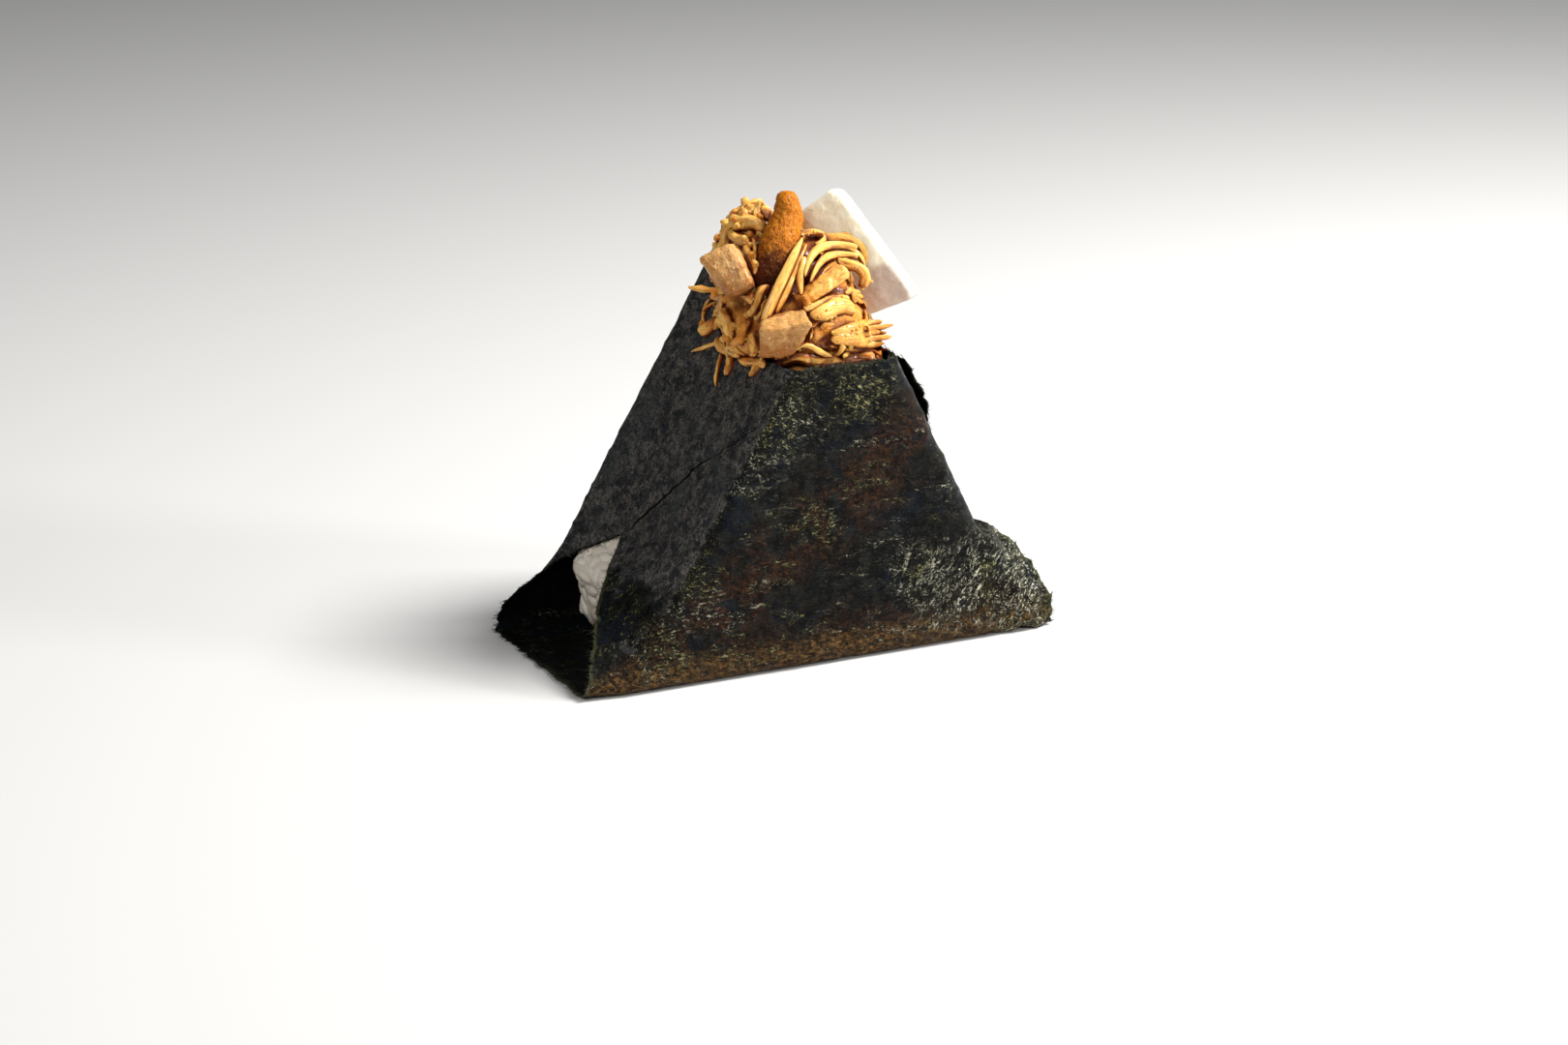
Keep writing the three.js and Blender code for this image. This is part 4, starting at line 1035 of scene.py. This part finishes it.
# Each placed shred: which model, points across and up, lift off the mound, width, thickness, tone.
PLACED = [
    ("blade", [(5.2, 8.6), (1.2, -0.3), (-2.7, -9.0)], 3.0, 2.5, 1.6, 0.85),
    ("blade", [(6.0, 7.4), (3.0, -0.3), (-0.4, -7.0)], 1.8, 1.8, 1.4, 0.45),
    ("blade", [(5.6, 0.0), (6.6, 5.0), (11.2, 7.6), (16.2, 6.6)], 2.8, 2.2, 1.9, 0.85),
    ("blade", [(6.6, -1.0), (8.2, 3.4), (12, 5.6), (16.4, 4.8)], 2.3, 2.0, 1.7, 0.75),
    ("blade", [(7.4, -2.0), (9.4, 2.0), (12.6, 3.8), (16.0, 3.2)], 1.7, 1.7, 1.5, 0.6),
    ("blade", [(5.0, -3.4), (4.6, 0.4), (5.8, 4.4)], 2.2, 2.0, 1.7, 0.7),
    ("ribbon", [(5, 8.8), (6.9, 10.2), (9.1, 8.8), (8.4, 6.7)], 2.0, 2.2, 1.8, 0.85),
    ("strand", [(9.4, 8.8), (10.6, 7.4), (10.2, 5.8)], 1.6, 1.5, 1.4, 0.8),
    ("ribbon", [(10, 10.0), (13.6, 9.0), (16.8, 6.8), (18.2, 3.4)], 1.4, 3.2, 1.6, 0.7),
    ("ribbon", [(12, 10.2), (16.0, 8.0), (19, 4.6)], 0.6, 3.0, 1.5, 0.65),
    ("ribbon", [(15.0, 3.8), (17.0, 1.8), (17.6, -1.0)], 1.2, 2.6, 1.6, 0.5),
    ("ribbon", [(6.9, -8), (11, -5.6), (15.4, -5.6)], 1.5, 3.6, 2.4, 0.7),
    ("ribbon", [(5.6, -6.6), (9.4, -4.2), (14.4, -3.6)], 1.0, 2.6, 2.0, 0.6),
    ("splayed", [(10.6, -10.8), (16.8, -9.6), (23.6, -8.6)], 1.4, 3.2, 1.6, 0.40),
    ("splayed", [(10.5, -12), (17, -11.6), (23.2, -11.0)], 1.7, 3.4, 1.7, 0.30),
    ("splayed", [(10, -13), (16, -13.2), (22.2, -13.4)], 1.2, 2.8, 1.5, 0.6),
    ("splayed", [(11, -14.2), (16, -14.8), (21.4, -15.2)], 0.8, 2.8, 1.5, 0.5),
    ("strand", [(3.4, -14.2), (5.4, -13.0), (8.4, -14.2), (11.2, -15.4)], 2.2, 1.6, 1.4, 0.95),
    ("strand", [(10.4, -15.6), (12.4, -14.2), (13.2, -11.6)], 1.8, 1.5, 1.3, 0.8),
    ("strand", [(14.6, -15.2), (14.4, -12.6), (13.4, -10.4)], 1.8, 1.6, 1.3, 0.7),
    ("strand", [(-10.8, -13), (-11.6, -17), (-12.3, -20.8)], 0.8, 1.3, 1.0, 0.75),
    ("ribbon", [(-9.6, -12.5), (-9.1, -15.6), (-9.6, -18.6)], 0.9, 2.2, 1.7, 0.6),
    ("ribbon", [(-1.6, -13), (-3.2, -15.9), (-4.9, -19.2)], 1.2, 2.2, 1.7, 0.7),
    ("strand", [(-10, -1.9), (-14.5, -1.7), (-17.4, -1)], 1.0, 1.5, 1.1, 0.9),
    ("strand", [(-10, -11), (-14, -12.3), (-17.6, -13)], 0.6, 1.2, 0.9, 0.8),
    ("strand", [(-13.4, -2), (-15, -5.3), (-13.7, -9.5)], 0.5, 1.3, 1.0, 0.5),
    ("strand", [(-12.2, -3), (-13.6, -3.8), (-15.0, -4.8)], 0.8, 0.9, 0.8, 0.6),
    ("ribbon", [(-15.4, -9.8), (-12.2, -7.4), (-8.2, -5.8)], 1.3, 3.4, 2.0, 0.6),
    ("ribbon", [(-10.6, -5.4), (-9.4, -9.0), (-9.0, -12.2)], 2.2, 2.9, 2.2, 0.85),
    ("ribbon", [(-12.4, -5.4), (-8.6, -4.3), (-4.6, -3.3)], 1.8, 2.6, 2.2, 0.9),
    ("ribbon", [(-8.8, -1.8), (-6.4, -2.8), (-4.2, -4.6)], 2.0, 2.2, 1.8, 0.8),
    ("ribbon", [(-5.2, -7.4), (-3.4, -4.2), (-2.0, -0.9)], 1.6, 2.1, 1.9, 0.8),
    ("ribbon", [(-3.4, -8.4), (-2.4, -6), (-1.4, -3.6)], 1.0, 1.5, 1.4, 0.55),
    ("ribbon", [(-9.4, 12), (-5.7, 11.6), (-1.8, 10.0)], 1.0, 3.4, 2.4, 0.75),
    ("ribbon", [(-9.0, 13.0), (-5.4, 15.4), (-2.0, 15.8)], 0.8, 2.8, 2.2, 0.9),
    ("ribbon", [(-11.6, 8.4), (-10.4, 11.4), (-7.4, 14.0)], 0.8, 2.6, 2.0, 0.85),
    ("ribbon", [(-4.6, 10.8), (-3.6, 13.6), (-3.2, 16.2)], 1.2, 2.0, 1.6, 0.95),
    ("strand", [(-8.8, 9.6), (-7.0, 12.0), (-6.6, 15.0)], 1.4, 1.6, 1.4, 0.95),
    ("ribbon", [(-12.8, 6.0), (-11.2, 8.2), (-8.8, 9.0)], 1.0, 2.6, 2.0, 0.7),
    ("ribbon", [(-6.6, 13.2), (-3.6, 14.4), (-1.0, 12.6)], 0.8, 3.2, 2.4, 0.85),
    ("ribbon", [(-10.9, 5.6), (-9.4, 9.6), (-6.8, 12.4)], 0.8, 3.2, 2.4, 0.6),
    ("ribbon", [(-9.2, 10.4), (-7.6, 8.2), (-5.0, 7.2)], 1.3, 2.4, 2.0, 0.8),
    ("ribbon", [(-6.3, 7.3), (-5.0, 4.2), (-3.8, 0.9)], 1.2, 2.0, 1.8, 0.8),
    ("strand", [(-4.6, 8.4), (-4.0, 5.6), (-4.6, 2.6)], 1.6, 1.4, 1.2, 0.9),
    ("ribbon", [(-5.2, -11.2), (-3.8, -12.4), (-4.4, -15)], 2.2, 1.8, 1.8, 0.55),
    ("strand", [(-3.0, -10.4), (-2.6, -13), (-3.4, -15)], 1.8, 1.3, 1.2, 0.75),
    ("ribbon", [(-0.8, -15.2), (2.0, -15.0), (3.6, -16.4)], 1.4, 2.6, 1.6, 0.7),
    ("ribbon", [(-8, -12.6), (-6.2, -10.2), (-5.6, -8)], 0.6, 2.2, 1.8, 0.3),
    ("ribbon", [(4, -15.6), (9, -15.8), (14, -15.6)], 0.6, 2.8, 1.8, 0.9),
    ("ribbon", [(-0.5, -16.0), (3.5, -15.6), (7.0, -15.9)], 2.4, 2.8, 2.0, 0.9),
    ("ribbon", [(6.0, -16.0), (10.0, -16.2), (13.5, -15.6)], 2.2, 2.8, 1.8, 0.9),
    ("ribbon", [(12.0, -15.7), (16.0, -15.4), (19.6, -15.0)], 2.0, 2.6, 1.8, 0.8),
    ("ribbon", [(-7.6, -14.6), (-5.2, -16.0), (-2.0, -16.4)], 1.6, 2.6, 2.0, 0.45),
    ("ribbon", [(-12.2, -10.6), (-10.2, -13.2), (-7.0, -14.2)], 1.2, 2.6, 2.0, 0.5),
    ("strand", [(6, -1.2), (5.2, -3.4), (6.8, -5.4)], 1.4, 1.3, 1.3, 0.65),
    ("strand", [(7.2, 0.4), (6.4, -2.0), (7.6, -3.8)], 1.6, 1.2, 1.2, 0.85),
    # These stand free of the mound where it falls away by more than their last value.
    ("ribbon", [(8.6, 8.4), (13.4, 8.8), (17.0, 7.0), (18.2, 3.4)], 0.6, 3.2, 1.4, 0.8, 0.8),
    ("ribbon", [(12.0, 3.6), (15.6, 3.2), (17.6, 1.2), (17.2, -1.6)], 0.8, 2.8, 1.5, 0.7, 0.8),
    ("strand", [(9.6, 7.2), (14.2, 7.0), (17.0, 5.0), (17.4, 2.6)], 1.2, 1.6, 1.3, 0.9, 0.8),
]


def on_mound(tree, points, towards, lift, start=None, step=15.0):
    """Points carried onto the mound along a direction; where it falls away they run on level."""
    laid, last = [], start
    for point in smooth_line(points, 9):
        point = Vector(point)
        hit = tree.ray_cast((point + towards * 60) * MM, -towards)[0]
        if hit is not None:
            level = (hit / MM - point).dot(towards)
            if last is None or abs(level - last) < step:
                last = level
        if last is not None:
            laid.append(point + towards * (last + lift))
    return laid


def placed_shreds(tree, models, draw):
    """The shreds that are each laid in their own place."""
    for name, run, lift, width, thickness, tone, *step in PLACED:
        line = on_mound(tree, [in_heap(*p) for p in run], HEAP_OUT, lift, None, *step)
        if len(line) > 3:
            uneven = 0.09 if name == "blade" else 0.22
            shred = lay(models[name], line, width, thickness, HEAP_OUT, draw, uneven)
            one_value(shred, "tone", tone)
            yield name, shred


def strewn_shreds(core, tree, wrapper, models, draw, tries=2600, spacing=2.6, most=321):
    """The shreds between them, strewn over the mound wherever the wrapper isn't close in front."""
    core.data.calc_loop_triangles()
    triangles = [t for t in core.data.loop_triangles if t.center.z > LOWEST_SHRED * MM]
    taken = []
    for triangle in draw.choices(triangles, weights=[t.area for t in triangles], k=tries):
        point, normal = triangle.center / MM, triangle.normal.copy()
        in_front = normal.dot(HEAP_OUT) > 0.35
        if any((point - other).length < spacing for other in taken) or len(taken) >= most:
            continue
        if wrapper.ray_cast(triangle.center, normal, 4 * MM)[0] is not None:
            continue
        taken.append(point)
        side = normal.orthogonal().normalized()
        side.rotate(Matrix.Rotation(draw.uniform(0, math.tau), 3, normal))
        half = draw.uniform(1.5, 3.0) if in_front else draw.uniform(1.8, 3.8)
        bend = normal.cross(side) * draw.uniform(-1.6, 1.6)
        stand = draw.choice((0, 0, 0.25, 0.6)) * half
        run = [point - side * half, point + bend, point + side * half]
        sink = 0.8 if in_front else 0.0
        line = on_mound(tree, run, normal, draw.uniform(-0.2, 0.5) - sink, 0.0, 1.6)
        if len(line) < 4:
            continue
        line = [p + normal * stand * (k / len(line)) ** 2 for k, p in enumerate(line)]
        name = draw.choice(("strand", "ribbon", "ribbon", "strand", "splayed"))
        width = draw.uniform(0.9, 2.8)
        flat = normal + draw.uniform(-0.9, 0.9) * normal.cross(side)
        thickness, tone = width * draw.uniform(0.35, 0.7), draw.uniform(0.2, 0.9)
        shred = lay(models[name], line, width, thickness, flat, draw, 0.22)
        one_value(shred, "tone", tone)
        yield name, shred


def shreds(core, sheet):
    """The shreds laid over the mound, before their surface is finished."""
    draw = random.Random(7)
    models = {name: shred_model(name) for name in ("strand", "ribbon", "blade")}
    models["splayed"] = splayed_model()
    tree, wrapper = tree_of(core, sheet), tree_of(sheet)
    made = {name: [] for name in models}
    for name, shred in placed_shreds(tree, models, draw):
        made[name].append(shred)
    for name, shred in strewn_shreds(core, tree, wrapper, models, draw):
        made[name].append(shred)
    pieces = []
    for name, copies in made.items():
        bpy.data.objects.remove(models[name])
        pieces.append(joined(copies, "chicken_" + name + "s"))
    return pieces


def crumbs(targets, name, radius, faceting, spacing, tries, keep):
    draw = random.Random(21)
    bpy.ops.mesh.primitive_ico_sphere_add(subdivisions=faceting, radius=radius * MM)
    crumb = named("crumb")
    lumps(crumb, (1.1 * radius, 1.25 * radius))
    made = []
    for target in targets:
        made += copies_over(crumb, target, tries, spacing, keep, draw, sink=0.3 * radius, tilt=1.0)
    bpy.data.objects.remove(crumb)
    piece = joined(made, name)
    # a little painted shade on every crumb
    one_value(piece, "inner", 0.1)
    point_vectors(piece, "strand_place", points_of(piece) * MM)
    return piece


def with_places(piece, turned):
    """Gives a piece of meat its tone, paler upwards, partly its own colour and partly painted light from
    above with shade low down, and places that run slowly along its fibres.
    """
    heights = (points_of(piece) - np.array(HEAP_CENTRE)) @ np.array(HEAP_UP)
    point_values(piece, "tone", (heights - heights.min()) / np.ptp(heights))
    point_vectors(piece, "strand_place", points_of(piece) @ np.array(turned.to_3x3()) * (0.25 * MM, MM, MM))
    return piece


def block(name, start, end, width, thickness, roll, bevel, pulls):
    """A torn block of meat along a line of the heap. A pull moves a corner by shares of the sides."""
    start, end = in_heap(*start), in_heap(*end)
    length = end - start
    size = Vector((length.length, width, thickness))
    length.normalize()
    face = (HEAP_OUT - HEAP_OUT.dot(length) * length).normalized()
    face.rotate(Matrix.Rotation(math.radians(roll), 3, length))
    turned = Matrix((length, face.cross(length), face)).transposed().to_4x4()
    bpy.ops.mesh.primitive_cube_add(size=1)
    piece = named(name)
    for corner, move in pulls:
        nearest = min(piece.data.vertices, key=lambda v: (v.co - Vector(corner) / 2).length)
        nearest.co += Vector(move)
    settled(piece, Matrix.Diagonal((*(size * MM), 1)))
    all_edited(
        piece,
        lambda: bpy.ops.mesh.bevel(offset=bevel * min(size) * MM, segments=2, affect="EDGES"),
        lambda: bpy.ops.mesh.subdivide(number_cuts=3),
    )
    settled(piece, Matrix.Translation((start + end) / 2 * MM) @ turned)
    rebuilt(piece, MEAT_VOXEL)
    lumps(piece, (3.5, 0.8), (1.4, 0.4), (0.6, 0.12))
    return with_places(piece, turned)


def browned_piece():
    """A roasted strip: a rounded knobbly end, wider and rougher further down."""
    places = ((1.9, 17.6, 6), (1.8, 11.6, 7.6), (0.3, 4.6, 9.0), (-3.0, -3.2, 9.6))
    line = smooth_line([in_heap(*p) for p in places])
    model = shred_model("browned_model")
    piece = lay(model, line, 7.7, 6.8, HEAP_OUT, random.Random(3), 0.1)
    bpy.data.objects.remove(model)
    piece.name = piece.data.name = "browned_meat"
    piece.data.attributes.remove(piece.data.attributes["strand_place"])
    finished_by(piece, "SUBSURF", levels=2, render_levels=2)
    rebuilt(piece, MEAT_VOXEL)
    lumps(piece, (3.0, 0.5), (1.0, 0.42), (0.45, 0.36))
    return with_places(piece, Matrix((HEAP_UP, HEAP_ACROSS, HEAP_OUT)).transposed())


# Each chunk: its two ends, width, thickness, roll, bevel, and the corners that are pulled.
CHUNKS = {
    "left": (
        (-10.6, 5.6, 10.5), (-6.6, -3.0, 12.5), 6.6, 5.6, 4, 0.30,
        [((-1, -1, 1), (-0.1, -0.38, 0)), ((1, -1, 1), (0, 0.12, 0)), ((-1, 1, 1), (-0.06, -0.08, 0))]),
    "middle": (
        (-3.2, -11.6, 14.5), (7.6, -10.2, 14.5), 7.0, 6.0, 36, 0.1,
        [((1, -1, 1), (-0.42, 0, 0)), ((1, -1, -1), (-0.42, 0, 0)), ((-1, -1, 1), (-0.06, 0, 0)),
         ((1, 1, -1), (-0.14, 0, 0)), ((-1, 1, -1), (0.12, 0, 0))]),
    "right": (
        (4.4, -4.8, 13.8), (13.4, 2.2, 10.2), 3.0, 3.6, 25, 0.2,
        [((-1, 1, 1), (0.1, -0.2, 0)), ((1, 1, 1), (0, -0.15, 0))]),
}


def in_scrappy_place(point, normal):
    return point.z > 63 and noise.noise(point / 3.5) > 0.12


def on_left_front(point, normal):
    return point.z > 63 and normal.dot(HEAP_OUT) > 0 and (point - HEAP_CENTRE).dot(HEAP_ACROSS) < 1


def chicken(sheet):
    """The mound, its shreds and scraps, the three chunks and the browned strip, each with its finish."""
    # the first colour of each finish paints the glint flecks
    glint_cream = (0.96, 0.72, 0.36)
    meat = chicken_finish(
        "shredded chicken", glint_cream, (0.88, 0.50, 0.120), (0.66, 0.22, 0.018), (0.16, 0.026, 0.0015))
    pale_meat = chicken_finish(
        "pale chicken", glint_cream, (0.60, 0.33, 0.105), (0.40, 0.145, 0.032), (0.20, 0.045, 0.004), grain=0.9)
    browned = chicken_finish(
        "browned chicken",
        (0.66, 0.30, 0.07), (0.54, 0.175, 0.010), (0.09, 0.018, 0.003), (0.050, 0.009, 0.001),
        grain=0.6, rise=1.5, shine=0.2, fibrous=False)

    core = heap_core()
    loose = shreds(core, sheet)
    strip = browned_piece()
    chunks = {name: block("chunk_" + name, *shape) for name, shape in CHUNKS.items()}
    ragged = [piece for piece in loose if piece.name != "chicken_blades"]
    scraps = [
        crumbs(ragged, "chicken_crumbs", 0.36, 1, 0.8, 900, in_scrappy_place),
        crumbs(ragged, "chicken_bits", 0.85, 2, 2.0, 500, on_left_front),
    ]
    for piece in loose:
        finished_by(piece, "SUBSURF", levels=1, render_levels=1)
        torn = 0.3 if piece.name == "chicken_blades" else 1.0
        lumps(piece, (1.3, 0.60 * torn), (0.5, 0.26 * torn))
    set_occlusion_shade([core, *loose, strip, *chunks.values()], [sheet])

    # the mound's painted shade is lighter just above the sheet's rim, where it shows between the lowest
    # shreds
    near_rim = smoothstep(points_of(core)[:, 2], 66, 63)
    occlusion_values = core.data.attributes["inner"].data
    occlusion_values.foreach_set("value", [d.value * (1 - 0.6 * n) for d, n in zip(occlusion_values, near_rim)])
    for piece in (core, *loose, *scraps):
        complete(piece, meat, "chicken_heap")
    complete(strip, browned, "browned_strip")
    for name, chunk in chunks.items():
        complete(chunk, meat if name == "right" else pale_meat, "chicken_chunk_" + name)


# ---------------------------------------------------------------- cheese
def cheese_slab():
    """A square slab with rounded corners, standing behind the heap on one corner."""
    top, right = in_heap(12.3, 19.8, -0.5), in_heap(28.6, -2.6, -0.5)
    edge = (right - top).normalized()
    inward = edge.cross(HEAP_OUT).normalized()
    inward.rotate(Matrix.Rotation(math.radians(14), 3, edge))
    turned = Matrix((edge, inward, edge.cross(inward))).transposed().to_4x4()
    bpy.ops.mesh.primitive_cube_add(size=1)
    slab = named("cheese")
    pick(slab, lambda v: v.co.x > 0 and v.co.y > 0)
    edited(slab, lambda: bpy.ops.transform.translate(value=(-0.25, 0, 0)))
    settled(slab, Matrix.Diagonal([s * MM for s in CHEESE_SIZE] + [1]))
    ends = slab.data.vertices
    pick(slab, lambda e: abs(ends[e.vertices[0]].co.z - ends[e.vertices[1]].co.z) > MM, "EDGE")
    edited(slab, lambda: bpy.ops.mesh.bevel(offset=CHEESE_CORNER * MM, segments=5, affect="EDGES"))
    all_edited(slab, lambda: bpy.ops.mesh.bevel(offset=CHEESE_EDGE * MM, segments=2, affect="EDGES"))
    centre = (top + right) / 2 + inward * CHEESE_SIZE[1] / 2
    settled(slab, Matrix.Translation(centre * MM) @ turned)
    rebuilt(slab, CHEESE_VOXEL)
    lumps(slab, (6, 0.5), (1.6, 0.25))
    return slab


# ---------------------------------------------------------------- camera, floor and lights
CAMERA_PLACE = Vector((-297.344, -625.094, 247.937))
CAMERA_TURN = (math.radians(72), 0, math.radians(-25.6))
FOCAL_PIXELS, FRAME_PIXELS = 3669, 1620
SENSOR_WIDTH = 36
RIGHT, AWAY = Vector((0.902, -0.432, 0)), Vector((0.433, 0.902, 0))
LIGHTS = {  # to the right of the object, away from the camera and up, size, power; all in metres and watts
    "key": (0.42, 0.04, 0.62, 0.24, 9.5),
    "side": (0.80, -0.20, 0.26, 0.16, 4.2),
    "fill": (-0.45, -0.80, 0.90, 0.46, 5.2),
}


def studio():
    bpy.ops.object.camera_add(location=CAMERA_PLACE * MM, rotation=CAMERA_TURN)
    camera = bpy.context.object
    camera.data.sensor_width = SENSOR_WIDTH
    camera.data.lens = FOCAL_PIXELS * SENSOR_WIDTH / FRAME_PIXELS
    bpy.context.scene.camera = camera

    bpy.ops.mesh.primitive_circle_add(vertices=96, radius=3, fill_type="NGON")
    floor = named("floor")
    floor.data.materials.append(Finish("pale floor").surface(Base_Color=(0.66, 0.65, 0.63, 1), Roughness=0.8))

    aim = Vector((0, 0, 0.045))
    for name, (right, away, up, size, power) in LIGHTS.items():
        place = right * RIGHT + away * AWAY + Vector((0, 0, up))
        bpy.ops.object.light_add(type="AREA", location=place)
        light = bpy.context.object
        light.name = name
        light.data.size = size
        light.data.energy = power
        light.rotation_euler = (aim - place).to_track_quat("-Z", "Y").to_euler()

    world = bpy.data.worlds.new("studio")
    world.use_nodes = True
    sky = world.node_tree.nodes["Background"].inputs
    sky["Color"].default_value = (0.75, 0.78, 0.82, 1)
    sky["Strength"].default_value = 0.12
    bpy.context.scene.world = world
    bpy.context.scene.view_settings.view_transform = "Standard"


bpy.ops.object.select_all(action="DESELECT")
studio()
sheet, rim = nori_sheet()
complete(sheet, nori_finish(), "nori_sheet")
complete(nori_fringe(rim), fringe_finish(), "nori_sheet")
rice_look = rice_finish()
for piece in rice():
    complete(piece, rice_look, "rice_block")
chicken(sheet)
complete(cheese_slab(), cheese_finish(), "cheese_slab")
